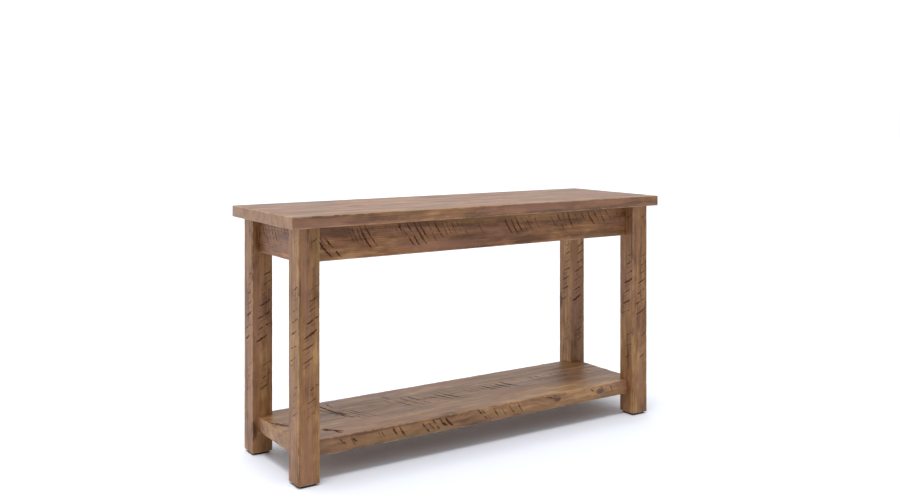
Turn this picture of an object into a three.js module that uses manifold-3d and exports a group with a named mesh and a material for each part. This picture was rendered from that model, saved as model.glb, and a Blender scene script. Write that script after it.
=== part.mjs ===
// Console table in solid softwood: a long top on four square legs, deep aprons under the top
// and a thick shelf near the floor.
// Frame: millimetres, +Z up, +X along the front towards the right-hand end, +Y towards the back.
// The origin is on the floor, under the middle of the table.
import * as THREE from "three";
import { mergeVertices } from "three/addons/utils/BufferGeometryUtils.js";
import Module from "manifold-3d";

const wasm = await Module();
wasm.setup();

// ---- Driving dimensions ----

const TABLE_HEIGHT = 762;
const FIT_GAP = 0.3; // clearance between a piece and the cut that receives it
const CUT_OVERRUN = 1; // how far a cutting tool stands past the face that it enters
const ROUND_SIDES = 16; // sides of a drilled hole, dowel, bolt or nail

// Top: boards glued edge to edge.
const TOP_LENGTH = 1390;
const TOP_DEPTH = 447;
const TOP_THICKNESS = 34.5;
const TOP_BOARD_NAMES = ["front", "middle", "back"];
const TOP_EDGE_EASE = 1;

// Legs: square posts, measured over their outer faces.
const FRAME_LENGTH = 1330;
const FRAME_DEPTH = 400;
const LEG_WIDTH = 66.5;
const LEG_EDGE_RADIUS = 2;
const LEG_EDGE_STEPS = 3; // straight steps round each eased edge
const LEG_FLAT_CUT = 8; // how much of the inner corner is planed off for the corner block

// Aprons: the long ones stand further back from the leg faces than the end ones.
const APRON_HEIGHT = 104;
const APRON_THICKNESS = 22;
const APRON_EDGE_EASE = 1.5;
const LONG_APRON_SETBACK = 37.5;
const END_APRON_SETBACK = 21.5;

// Two stub tenons, one above the other, leave room between them for the hanger bolt.
const TENON_THICKNESS = 10;
const TENON_HEIGHT = 30;
const TENON_LENGTH = 20;
const TENON_RISE = 29; // tenon centre above or below the apron's middle
const MORTISE_SPARE_DEPTH = 1;

// Shelf: thick boards glued edge to edge and notched round the legs.
const SHELF_TOP = 118;
const SHELF_THICKNESS = 47;
const SHELF_LONG_SETBACK = 28.5;
const SHELF_END_SETBACK = 19.5;
const SHELF_BOARDS = [
  { name: "front", depth: 88 },
  { name: "middle", depth: 154 },
  { name: "back", depth: 101 },
];
const SHELF_EDGE_EASE = 1.5;

// Dowels that carry the shelf, two in each leg.
const DOWEL_RADIUS = 5;
const DOWEL_LENGTH = 48;
const DOWEL_RISE = 12; // dowel axis above or below the shelf's middle
const DOWEL_SPARE_DEPTH = 1;

// Corner block with the hanger bolt, washer and nut that pull the leg into the corner.
const BLOCK_INNER_LEG = 26; // along each apron, from the corner to the block's near face
const BLOCK_OUTER_LEG = 64; // and to its far face
const BLOCK_HEIGHT = 76;
const BOLT_RADIUS = 4;
const BOLT_LENGTH = 84;
const BOLT_DEPTH_IN_LEG = 40;
const WASHER_RADIUS = 8.5;
const WASHER_THICKNESS = 1.6;
const NUT_ACROSS_FLATS = 13;
const NUT_HEIGHT = 6.5;

// Wooden buttons that hold the top down and let it move with the seasons.
const BUTTON_LENGTH = 32;
const BUTTON_WIDTH = 25;
const BUTTON_THICKNESS = 19;
const TONGUE_LENGTH = 8;
const TONGUE_HEIGHT = 6.5;
const GROOVE_BELOW_TOP = 10;
const GROOVE_HEIGHT = 8;
const GROOVE_DEPTH = 9.5;
const GROOVE_LENGTH = 40;
const LONG_APRON_BUTTON_X = 260;
const SCREW_RADIUS = 2;
const SCREW_HEAD_RADIUS = 4;
const SCREW_HEAD_HEIGHT = 2.5;
const SCREW_LENGTH = 36;
const SCREW_TIP_LENGTH = 5;
const SCREW_HEAD_SUNK = 4; // head below the button's underside

// Foot pads, one nailed under each leg.
const PAD_WIDTH = 58;
const PAD_HEIGHT = 6;
const PAD_CORNER_RADIUS = 14;
const PAD_CORNER_STEPS = 6; // straight steps round each corner
const PAD_RECESS_DEPTH = 2.5;
const NAIL_RADIUS = 1.5;
const NAIL_HEAD_RADIUS = 4.5;
const NAIL_HEAD_HEIGHT = 1.6;
const NAIL_LENGTH = 24;
const NAIL_TIP_LENGTH = 4;

// ---- Sizes that follow from them ----

const TOP_UNDERSIDE = TABLE_HEIGHT - TOP_THICKNESS;
const LEG_HEIGHT = TOP_UNDERSIDE - PAD_HEIGHT;
const LEG_X = (FRAME_LENGTH - LEG_WIDTH) / 2;
const LEG_Y = (FRAME_DEPTH - LEG_WIDTH) / 2;
const LEG_INNER_X = FRAME_LENGTH / 2 - LEG_WIDTH;
const LEG_INNER_Y = FRAME_DEPTH / 2 - LEG_WIDTH;

const APRON_MIDDLE = TOP_UNDERSIDE - APRON_HEIGHT / 2;
const LONG_APRON_Y = (FRAME_DEPTH - APRON_THICKNESS) / 2 - LONG_APRON_SETBACK;
const END_APRON_X = (FRAME_LENGTH - APRON_THICKNESS) / 2 - END_APRON_SETBACK;
const BLOCK_CORNER_X = END_APRON_X - APRON_THICKNESS / 2;
const BLOCK_CORNER_Y = LONG_APRON_Y - APRON_THICKNESS / 2;

const SHELF_LENGTH = FRAME_LENGTH - 2 * SHELF_END_SETBACK;
const SHELF_DEPTH = FRAME_DEPTH - 2 * SHELF_LONG_SETBACK;
const SHELF_MIDDLE = SHELF_TOP - SHELF_THICKNESS / 2;
const DOWEL_Y = (LEG_INNER_Y + SHELF_DEPTH / 2) / 2;

// The leg's planed flat faces the corner block; the bolt's axis is square to it through its middle.
const BOLT_START_X = LEG_INNER_X + LEG_FLAT_CUT / 2;
const BOLT_START_Y = LEG_INNER_Y + LEG_FLAT_CUT / 2;
const DIAGONAL_IN = new THREE.Vector3(1, 1, 0).normalize();

const SCREW_BASE = TOP_UNDERSIDE - BUTTON_THICKNESS + SCREW_HEAD_SUNK;

// The near left corner is built once. The others are its mirror images.
const CORNERS = [
  { name: "front_left", mirrorX: 1, mirrorY: 1 },
  { name: "front_right", mirrorX: -1, mirrorY: 1 },
  { name: "back_left", mirrorX: 1, mirrorY: -1 },
  { name: "back_right", mirrorX: -1, mirrorY: -1 },
];

// ---- Materials ----

const FINISHES = {
  top_wood: { color: 0x9d8069, roughness: 0.62, metalness: 0 },
  shelf_wood: { color: 0x8c7567, roughness: 0.6, metalness: 0 },
  frame_wood: { color: 0x876248, roughness: 0.68, metalness: 0 },
  inner_wood: { color: 0xb39468, roughness: 0.8, metalness: 0 },
  zinc_steel: { color: 0x9fa3a6, roughness: 0.38, metalness: 1 },
  pad_plastic: { color: 0x2b2a29, roughness: 0.85, metalness: 0 },
};

// A new named mesh with a material of its own.
function namedMesh(name, geometry, finish) {
  const material = new THREE.MeshStandardMaterial(FINISHES[finish]);
  const mesh = new THREE.Mesh(geometry, material);
  mesh.name = name;
  return mesh;
}

// ---- Solids ----

// A closed geometry as a solid that can be joined and cut.
function solidOf(geometry) {
  const bare = geometry.clone();
  bare.deleteAttribute("normal");
  bare.deleteAttribute("uv");
  const merged = mergeVertices(bare);
  return new wasm.Manifold(
    new wasm.Mesh({
      numProp: 3,
      vertProperties: merged.getAttribute("position").array,
      triVerts: new Uint32Array(merged.index.array),
    }),
  );
}

// A solid as a geometry with flat faces.
function geometryOf(solid) {
  const mesh = solid.getMesh();
  const indexed = new THREE.BufferGeometry();
  indexed.setAttribute("position", new THREE.BufferAttribute(mesh.vertProperties, 3));
  indexed.setIndex(new THREE.BufferAttribute(mesh.triVerts, 1));
  const flat = indexed.toNonIndexed();
  flat.computeVertexNormals();
  return flat;
}

// A box given by its size and its centre.
function boxSolid(size, centre) {
  return solidOf(new THREE.BoxGeometry(...size).translate(...centre));
}

// A round bar that starts at a point and runs along a direction.
function barGeometry(radius, length, start, direction) {
  const bar = new THREE.CylinderGeometry(radius, radius, length, ROUND_SIDES);
  const turn = new THREE.Quaternion().setFromUnitVectors(new THREE.Vector3(0, 1, 0), direction);
  const middle = start.clone().addScaledVector(direction, length / 2);
  return bar.applyQuaternion(turn).translate(middle.x, middle.y, middle.z);
}

// A round hole from a point along a direction, wider than what goes in by the fit gap.
function holeSolid(radius, length, start, direction) {
  const mouth = start.clone().addScaledVector(direction, -CUT_OVERRUN);
  return solidOf(barGeometry(radius + FIT_GAP, length + CUT_OVERRUN, mouth, direction));
}

// A profile of [radius, height] points turned about +Z, starting and ending on the axis.
function turnedGeometry(profile) {
  const points = profile.map(([radius, height]) => new THREE.Vector2(radius, height));
  return new THREE.LatheGeometry(points, ROUND_SIDES).rotateX(Math.PI / 2);
}

// A square with rounded corners, centred on the origin.
function roundedSquare(width, radius) {
  const reach = width / 2 - radius;
  const square = new THREE.Shape();
  [[1, 1], [-1, 1], [-1, -1], [1, -1]].forEach(([x, y], quarter) => {
    const start = (quarter * Math.PI) / 2;
    square.absarc(x * reach, y * reach, radius, start, start + Math.PI / 2, false);
  });
  return square;
}

// A board along X: its section has a chamfer on the outer edges that are named.
function boardSolid(length, depth, thickness, frontEase, backEase) {
  const halfDepth = depth / 2;
  const halfThickness = thickness / 2;
  const section = new THREE.Shape();
  section.moveTo(-halfDepth, -halfThickness + frontEase);
  section.lineTo(-halfDepth + frontEase, -halfThickness);
  section.lineTo(halfDepth - backEase, -halfThickness);
  section.lineTo(halfDepth, -halfThickness + backEase);
  section.lineTo(halfDepth, halfThickness - backEase);
  section.lineTo(halfDepth - backEase, halfThickness);
  section.lineTo(-halfDepth + frontEase, halfThickness);
  section.lineTo(-halfDepth, halfThickness - frontEase);
  section.closePath();
  const board = new THREE.ExtrudeGeometry(section, { depth: length, bevelEnabled: false });
  const axes = new THREE.Matrix4().makeBasis(
    new THREE.Vector3(0, 1, 0),
    new THREE.Vector3(0, 0, 1),
    new THREE.Vector3(1, 0, 0),
  );
  return solidOf(board.applyMatrix4(axes).translate(-length / 2, 0, 0));
}

// ---- Top ----

// Where each button sits: its place on the table and the turn that faces it to its apron.
const BUTTON_LONG_Y = BLOCK_CORNER_Y - FIT_GAP;
const BUTTON_END_X = BLOCK_CORNER_X - FIT_GAP;
const BUTTONS = [
  { name: "front_left", x: -LONG_APRON_BUTTON_X, y: -BUTTON_LONG_Y, turn: 0 },
  { name: "front_right", x: LONG_APRON_BUTTON_X, y: -BUTTON_LONG_Y, turn: 0 },
  { name: "back_left", x: -LONG_APRON_BUTTON_X, y: BUTTON_LONG_Y, turn: Math.PI },
  { name: "back_right", x: LONG_APRON_BUTTON_X, y: BUTTON_LONG_Y, turn: Math.PI },
  { name: "left_end", x: -BUTTON_END_X, y: 0, turn: -Math.PI / 2 },
  { name: "right_end", x: BUTTON_END_X, y: 0, turn: Math.PI / 2 },
];

// The point on the table where a button's screw stands.
function screwPlace(button) {
  const inwards = new THREE.Vector3(0, BUTTON_LENGTH / 2, 0);
  inwards.applyAxisAngle(new THREE.Vector3(0, 0, 1), button.turn);
  return new THREE.Vector3(button.x + inwards.x, button.y + inwards.y, SCREW_BASE);
}

// The top's boards, each with the pilot holes of the screws that reach it.
function topBoards() {
  const group = new THREE.Group();
  const depth = TOP_DEPTH / TOP_BOARD_NAMES.length;
  const last = TOP_BOARD_NAMES.length - 1;
  TOP_BOARD_NAMES.forEach((name, index) => {
    const centreY = (index - last / 2) * depth;
    const centreZ = TOP_UNDERSIDE + TOP_THICKNESS / 2;
    const frontEase = index === 0 ? TOP_EDGE_EASE : 0;
    const backEase = index === last ? TOP_EDGE_EASE : 0;
    let board = boardSolid(TOP_LENGTH, depth, TOP_THICKNESS, frontEase, backEase);
    for (const button of BUTTONS) {
      const screw = screwPlace(button);
      if (Math.abs(screw.y - centreY) > depth / 2) continue;
      const start = new THREE.Vector3(screw.x, screw.y - centreY, screw.z - centreZ);
      const hole = holeSolid(SCREW_RADIUS, SCREW_LENGTH, start, new THREE.Vector3(0, 0, 1));
      board = board.subtract(hole);
    }
    const mesh = namedMesh(`top_board_${name}`, geometryOf(board), "top_wood");
    mesh.position.set(0, centreY, centreZ);
    group.add(mesh);
  });
  return group;
}

// A button: a block with a tongue that points along -Y into its apron's groove.
function buttonGeometry() {
  const body = boxSolid(
    [BUTTON_WIDTH, BUTTON_LENGTH, BUTTON_THICKNESS],
    [0, BUTTON_LENGTH / 2, TOP_UNDERSIDE - BUTTON_THICKNESS / 2],
  );
  const tongueMiddle = TOP_UNDERSIDE - GROOVE_BELOW_TOP - FIT_GAP - TONGUE_HEIGHT / 2;
  const tongue = boxSolid(
    [BUTTON_WIDTH, TONGUE_LENGTH + CUT_OVERRUN, TONGUE_HEIGHT],
    [0, (CUT_OVERRUN - TONGUE_LENGTH) / 2, tongueMiddle],
  );
  const up = new THREE.Vector3(0, 0, 1);
  const under = new THREE.Vector3(0, BUTTON_LENGTH / 2, TOP_UNDERSIDE - BUTTON_THICKNESS);
  const shankHole = holeSolid(SCREW_RADIUS, BUTTON_THICKNESS + CUT_OVERRUN, under, up);
  const headHole = holeSolid(SCREW_HEAD_RADIUS, SCREW_HEAD_SUNK + SCREW_HEAD_HEIGHT, under, up);
  return geometryOf(body.add(tongue).subtract(shankHole).subtract(headHole));
}

// A screw that stands head down, point up into the top.
function screwGeometry() {
  return turnedGeometry([
    [0, 0],
    [SCREW_HEAD_RADIUS, 0],
    [SCREW_RADIUS, SCREW_HEAD_HEIGHT],
    [SCREW_RADIUS, SCREW_LENGTH - SCREW_TIP_LENGTH],
    [0, SCREW_LENGTH],
  ]);
}

// The buttons round the underside of the top, with their screws.
function topButtons() {
  const group = new THREE.Group();
  for (const button of BUTTONS) {
    const block = namedMesh(`top_button_${button.name}`, buttonGeometry(), "inner_wood");
    block.position.set(button.x, button.y, 0);
    block.rotation.z = button.turn;
    const screw = namedMesh(`top_screw_${button.name}`, screwGeometry(), "zinc_steel");
    screw.position.copy(screwPlace(button));
    group.add(block, screw);
  }
  return group;
}

// ---- Aprons ----

// An apron along X with two stub tenons at each end. Grooves for the buttons are in its +Y face.
function apronGeometry(length, grooveCentres) {
  let apron = boardSolid(
    length,
    APRON_THICKNESS,
    APRON_HEIGHT,
    APRON_EDGE_EASE,
    APRON_EDGE_EASE,
  );
  for (const end of [-1, 1]) {
    for (const rise of [-TENON_RISE, TENON_RISE]) {
      const centreX = (end * (length + TENON_LENGTH - CUT_OVERRUN)) / 2;
      const size = [TENON_LENGTH + CUT_OVERRUN, TENON_THICKNESS, TENON_HEIGHT];
      apron = apron.add(boxSolid(size, [centreX, 0, rise]));
    }
  }
  const grooveMiddle = (APRON_HEIGHT - GROOVE_HEIGHT) / 2 - GROOVE_BELOW_TOP;
  const grooveY = (APRON_THICKNESS - GROOVE_DEPTH + CUT_OVERRUN) / 2;
  for (const centreX of grooveCentres) {
    const size = [GROOVE_LENGTH, GROOVE_DEPTH + CUT_OVERRUN, GROOVE_HEIGHT];
    apron = apron.subtract(boxSolid(size, [centreX, grooveY, grooveMiddle]));
  }
  return geometryOf(apron);
}

// The four aprons, each turned so that its grooved face looks into the table.
function aprons() {
  const group = new THREE.Group();
  const longButtons = [-LONG_APRON_BUTTON_X, LONG_APRON_BUTTON_X];
  const places = [
    { name: "front", x: 0, y: -LONG_APRON_Y, turn: 0 },
    { name: "back", x: 0, y: LONG_APRON_Y, turn: Math.PI },
    { name: "left", x: -END_APRON_X, y: 0, turn: -Math.PI / 2 },
    { name: "right", x: END_APRON_X, y: 0, turn: Math.PI / 2 },
  ];
  for (const { name, x, y, turn } of places) {
    const isLong = x === 0;
    const length = 2 * (isLong ? LEG_INNER_X : LEG_INNER_Y);
    const geometry = apronGeometry(length, isLong ? longButtons : [0]);
    const mesh = namedMesh(`apron_${name}`, geometry, "frame_wood");
    mesh.position.set(x, y, APRON_MIDDLE);
    mesh.rotation.z = turn;
    group.add(mesh);
  }
  return group;
}

// ---- Shelf ----

// What a leg takes out of the shelf at one corner.
function shelfNotch(corner) {
  const half = LEG_WIDTH / 2 + FIT_GAP;
  const size = [2 * half, 2 * half, SHELF_THICKNESS + 2 * CUT_OVERRUN];
  const centre = [-corner.mirrorX * LEG_X, -corner.mirrorY * LEG_Y, SHELF_MIDDLE];
  return boxSolid(size, centre);
}

// The shelf's boards, notched and drilled where they meet the legs.
function shelfBoards() {
  const group = new THREE.Group();
  const last = SHELF_BOARDS.length - 1;
  let frontY = -SHELF_DEPTH / 2;
  SHELF_BOARDS.forEach(({ name, depth }, index) => {
    const frontEase = index === 0 ? SHELF_EDGE_EASE : 0;
    const backEase = index === last ? SHELF_EDGE_EASE : 0;
    let board = boardSolid(SHELF_LENGTH, depth, SHELF_THICKNESS, frontEase, backEase);
    board = board.translate([0, frontY + depth / 2, SHELF_MIDDLE]);
    for (const corner of CORNERS) {
      board = board.subtract(shelfNotch(corner));
      for (const hole of dowelHoles(corner)) board = board.subtract(hole);
    }
    group.add(namedMesh(`shelf_board_${name}`, geometryOf(board), "shelf_wood"));
    frontY += depth;
  });
  return group;
}

// The holes that hold one corner's dowels, through the joint between leg and shelf.
function dowelHoles(corner) {
  const towardsMiddle = new THREE.Vector3(corner.mirrorX, 0, 0);
  const length = DOWEL_LENGTH + 2 * DOWEL_SPARE_DEPTH - CUT_OVERRUN;
  return [-DOWEL_RISE, DOWEL_RISE].map((rise) => {
    const startX = LEG_INNER_X + DOWEL_LENGTH / 2 + DOWEL_SPARE_DEPTH - CUT_OVERRUN;
    const start = new THREE.Vector3(
      -corner.mirrorX * startX,
      -corner.mirrorY * DOWEL_Y,
      SHELF_MIDDLE + rise,
    );
    return holeSolid(DOWEL_RADIUS, length, start, towardsMiddle);
  });
}

// ---- One corner, built as the near left one ----

const NEAR_LEFT = CORNERS[0];

// The pockets in a leg for the tenons of the two aprons that meet in it.
function mortises() {
  const depth = TENON_LENGTH + MORTISE_SPARE_DEPTH;
  const width = TENON_THICKNESS + 2 * FIT_GAP;
  const height = TENON_HEIGHT + 2 * FIT_GAP;
  const reach = depth + CUT_OVERRUN;
  const centreX = -LEG_INNER_X - (depth - CUT_OVERRUN) / 2;
  const centreY = -LEG_INNER_Y - (depth - CUT_OVERRUN) / 2;
  return [-TENON_RISE, TENON_RISE].flatMap((rise) => [
    boxSolid([reach, width, height], [centreX, -LONG_APRON_Y, APRON_MIDDLE + rise]),
    boxSolid([width, reach, height], [-END_APRON_X, centreY, APRON_MIDDLE + rise]),
  ]);
}

// The slice planed off the leg's inner corner, as a long box turned through 45 degrees.
function cornerSlice() {
  const side = LEG_WIDTH / 2;
  const slice = new THREE.BoxGeometry(side, side, APRON_HEIGHT + CUT_OVERRUN);
  slice.rotateZ(Math.PI / 4);
  slice.translate(-BOLT_START_X, -BOLT_START_Y, APRON_MIDDLE + CUT_OVERRUN / 2);
  const offset = DIAGONAL_IN.clone().multiplyScalar(side / 2);
  return solidOf(slice.translate(offset.x, offset.y, 0));
}

// The point on the hanger bolt's axis at a distance from the leg's planed flat.
function boltPoint(distance) {
  const flat = new THREE.Vector3(-BOLT_START_X, -BOLT_START_Y, APRON_MIDDLE);
  return flat.addScaledVector(DIAGONAL_IN, distance);
}

// A square leg with its mortises, bolt hole, dowel holes and nail hole.
function legGeometry() {
  const post = new THREE.ExtrudeGeometry(roundedSquare(LEG_WIDTH, LEG_EDGE_RADIUS), {
    depth: LEG_HEIGHT,
    bevelEnabled: false,
    curveSegments: LEG_EDGE_STEPS,
  });
  let leg = solidOf(post.translate(-LEG_X, -LEG_Y, PAD_HEIGHT));
  const outwards = DIAGONAL_IN.clone().negate();
  const nailStart = new THREE.Vector3(-LEG_X, -LEG_Y, PAD_HEIGHT);
  const cuts = [
    ...mortises(),
    cornerSlice(),
    holeSolid(BOLT_RADIUS, BOLT_DEPTH_IN_LEG + CUT_OVERRUN, boltPoint(0), outwards),
    ...dowelHoles(NEAR_LEFT),
    holeSolid(NAIL_RADIUS, NAIL_LENGTH, nailStart, new THREE.Vector3(0, 0, 1)),
  ];
  for (const cut of cuts) leg = leg.subtract(cut);
  return geometryOf(leg);
}

// The block across the corner between two aprons, drilled for the hanger bolt.
function cornerBlockGeometry() {
  const near = BLOCK_INNER_LEG;
  const far = BLOCK_OUTER_LEG;
  const outline = new THREE.Shape();
  outline.moveTo(near, 0);
  outline.lineTo(far, 0);
  outline.lineTo(0, far);
  outline.lineTo(0, near);
  outline.closePath();
  const block = new THREE.ExtrudeGeometry(outline, { depth: BLOCK_HEIGHT, bevelEnabled: false });
  block.translate(-BLOCK_CORNER_X, -BLOCK_CORNER_Y, APRON_MIDDLE - BLOCK_HEIGHT / 2);
  const hole = holeSolid(BOLT_RADIUS, BOLT_LENGTH, boltPoint(0), DIAGONAL_IN);
  return geometryOf(solidOf(block).subtract(hole));
}

// How far the block's two slanting faces are from the leg's planed flat.
function blockFaceDistance(legLength) {
  const corner = new THREE.Vector3(-BLOCK_CORNER_X, -BLOCK_CORNER_Y, APRON_MIDDLE);
  const onFace = corner.add(new THREE.Vector3(legLength, 0, 0));
  return onFace.sub(boltPoint(0)).dot(DIAGONAL_IN);
}

// A flat ring or nut of a given outline, bored for the bolt, with its base on z = 0.
function boredDisc(outline, height) {
  const bore = new THREE.Path();
  bore.absarc(0, 0, BOLT_RADIUS + FIT_GAP, 0, 2 * Math.PI, true);
  outline.holes.push(bore);
  const settings = { depth: height, bevelEnabled: false, curveSegments: ROUND_SIDES / 2 };
  return new THREE.ExtrudeGeometry(outline, settings);
}

function washerGeometry() {
  const outline = new THREE.Shape().absarc(0, 0, WASHER_RADIUS, 0, 2 * Math.PI, false);
  return boredDisc(outline, WASHER_THICKNESS);
}

function nutGeometry() {
  const cornerRadius = NUT_ACROSS_FLATS / Math.sqrt(3);
  const corners = Array.from({ length: 6 }, (_, index) => {
    const angle = (index * Math.PI) / 3;
    return new THREE.Vector2(cornerRadius * Math.cos(angle), cornerRadius * Math.sin(angle));
  });
  return boredDisc(new THREE.Shape(corners), NUT_HEIGHT);
}

// The pieces threaded on the bolt, in a group whose +Z is the bolt's axis.
function boltGroup(name) {
  const group = new THREE.Group();
  group.position.copy(boltPoint(0));
  group.quaternion.setFromUnitVectors(new THREE.Vector3(0, 0, 1), DIAGONAL_IN);
  const bolt = turnedGeometry([
    [0, -BOLT_DEPTH_IN_LEG],
    [BOLT_RADIUS, -BOLT_DEPTH_IN_LEG],
    [BOLT_RADIUS, BOLT_LENGTH - BOLT_DEPTH_IN_LEG],
    [0, BOLT_LENGTH - BOLT_DEPTH_IN_LEG],
  ]);
  const boltMesh = namedMesh(`hanger_bolt_${name}`, bolt, "zinc_steel");
  const washer = namedMesh(`washer_${name}`, washerGeometry(), "zinc_steel");
  washer.position.z = blockFaceDistance(BLOCK_OUTER_LEG) + FIT_GAP;
  const nut = namedMesh(`nut_${name}`, nutGeometry(), "zinc_steel");
  nut.position.z = washer.position.z + WASHER_THICKNESS + FIT_GAP;
  return group.add(boltMesh, washer, nut);
}

// Two dowels between the leg and the shelf.
function dowelGroup(name) {
  const group = new THREE.Group();
  for (const [level, rise] of [["lower", -DOWEL_RISE], ["upper", DOWEL_RISE]]) {
    const start = new THREE.Vector3(-DOWEL_LENGTH / 2, 0, 0);
    const bar = barGeometry(DOWEL_RADIUS, DOWEL_LENGTH, start, new THREE.Vector3(1, 0, 0));
    const dowel = namedMesh(`shelf_dowel_${level}_${name}`, bar, "inner_wood");
    dowel.position.set(-LEG_INNER_X, -DOWEL_Y, SHELF_MIDDLE + rise);
    group.add(dowel);
  }
  return group;
}

// The pad under a leg, with a stepped hole for its nail.
function padGeometry() {
  const pad = new THREE.ExtrudeGeometry(roundedSquare(PAD_WIDTH, PAD_CORNER_RADIUS), {
    depth: PAD_HEIGHT,
    bevelEnabled: false,
    curveSegments: PAD_CORNER_STEPS,
  });
  const base = new THREE.Vector3(0, 0, 0);
  const up = new THREE.Vector3(0, 0, 1);
  const shankHole = holeSolid(NAIL_RADIUS, PAD_HEIGHT + CUT_OVERRUN, base, up);
  const headRecess = holeSolid(NAIL_HEAD_RADIUS, PAD_RECESS_DEPTH, base, up);
  return geometryOf(solidOf(pad).subtract(shankHole).subtract(headRecess));
}

function nailGeometry() {
  return turnedGeometry([
    [0, 0],
    [NAIL_HEAD_RADIUS, 0],
    [NAIL_HEAD_RADIUS, NAIL_HEAD_HEIGHT],
    [NAIL_RADIUS, NAIL_HEAD_HEIGHT],
    [NAIL_RADIUS, NAIL_LENGTH - NAIL_TIP_LENGTH],
    [0, NAIL_LENGTH],
  ]);
}

// The pad and its nail, whose head stays a little above the floor.
function footGroup(name) {
  const group = new THREE.Group();
  group.position.set(-LEG_X, -LEG_Y, 0);
  const pad = namedMesh(`foot_pad_${name}`, padGeometry(), "pad_plastic");
  const nail = namedMesh(`foot_nail_${name}`, nailGeometry(), "zinc_steel");
  nail.position.z = PAD_RECESS_DEPTH - NAIL_HEAD_HEIGHT - FIT_GAP;
  return group.add(pad, nail);
}

// Everything that belongs to one corner of the table, mirrored into its place.
function cornerGroup({ name, mirrorX, mirrorY }) {
  const group = new THREE.Group();
  group.scale.set(mirrorX, mirrorY, 1);
  const leg = namedMesh(`leg_${name}`, legGeometry(), "frame_wood");
  const block = namedMesh(`corner_block_${name}`, cornerBlockGeometry(), "inner_wood");
  return group.add(leg, block, boltGroup(name), dowelGroup(name), footGroup(name));
}

// ---- The table ----

const table = new THREE.Group();
table.name = "console_table";
table.add(topBoards(), topButtons(), aprons(), shelfBoards());
for (const corner of CORNERS) table.add(cornerGroup(corner));

export default table;
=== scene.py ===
"""Looks of a rustic console table in stained softwood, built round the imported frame.

Each long piece of wood is a lofted block with worn edges, cut to the joinery of its own part of the
frame and then scored with saw marks. Units are metres: +X runs along the front towards the
right-hand end, +Y towards the back and +Z up, with the origin on the floor under the middle.
"""

import logging
import math
from collections.abc import Iterator
from contextlib import contextmanager
from dataclasses import dataclass
from enum import Enum

import bmesh
import bpy
import numpy as np
from mathutils import Euler, Matrix, Vector


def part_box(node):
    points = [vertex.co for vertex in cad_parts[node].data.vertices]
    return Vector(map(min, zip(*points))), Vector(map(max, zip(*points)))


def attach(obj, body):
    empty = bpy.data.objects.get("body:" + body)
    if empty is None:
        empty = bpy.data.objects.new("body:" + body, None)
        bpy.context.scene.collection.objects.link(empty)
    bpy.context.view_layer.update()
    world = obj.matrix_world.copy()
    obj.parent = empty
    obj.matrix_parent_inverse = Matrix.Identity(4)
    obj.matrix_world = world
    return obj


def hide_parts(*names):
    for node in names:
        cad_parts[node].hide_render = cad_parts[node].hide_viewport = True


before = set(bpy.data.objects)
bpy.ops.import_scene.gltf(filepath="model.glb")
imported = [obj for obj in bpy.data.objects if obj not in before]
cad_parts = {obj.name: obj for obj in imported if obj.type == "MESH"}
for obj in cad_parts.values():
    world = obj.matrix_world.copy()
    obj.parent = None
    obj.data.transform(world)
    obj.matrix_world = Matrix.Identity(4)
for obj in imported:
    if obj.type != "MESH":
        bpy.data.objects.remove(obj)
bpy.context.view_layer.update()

LOG = logging.getLogger("console_table")
BODY = "root"
CORNERS = ("front_left", "front_right", "back_left", "back_right")
MM = 0.001
CUT_ATTRIBUTE = "saw_cut"
BOARDS = (("front", (1,)), ("middle", (-1, 1)), ("back", (-1,)))
WELD = 0.001 * MM
WAVE_OCTAVES = 4
WAVE_FADE = 0.55
WAVE_SHRINK = 0.47
WAVE_SPREAD = (0.8, 1.25)
WAVE_RANGE = 1.6

Colour = tuple[float, float, float]
Stretch = tuple[float, float, float]
Socket = bpy.types.NodeSocket


class Axis(Enum):
    """The direction that a piece of wood and its grain run in."""

    X = 0
    Y = 1
    Z = 2

    @property
    def order(self) -> tuple[int, int, int]:
        """The frame axes in the order along, across and up through the piece."""
        return {Axis.X: (0, 1, 2), Axis.Y: (1, 0, 2), Axis.Z: (2, 0, 1)}[self]


class Face(Enum):
    """A side of the table, as the turn that lays a flat mark's own +Z outwards on it."""

    TOP = (0.0, 0.0, 0.0)
    FRONT = (90.0, 0.0, 0.0)
    RIGHT = (90.0, 0.0, 90.0)
    BACK = (90.0, 0.0, 180.0)
    LEFT = (90.0, 0.0, -90.0)

    @property
    def turn(self) -> Matrix:
        """The rotation that carries a mark's own axes onto this face."""
        return Euler([math.radians(angle) for angle in self.value]).to_matrix()


class Cut(Enum):
    """What a boolean leaves of a piece: its part inside the tool or its part outside."""

    INSIDE = "INTERSECT"
    OUTSIDE = "DIFFERENCE"


# ---- Blocks of space ----


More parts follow.
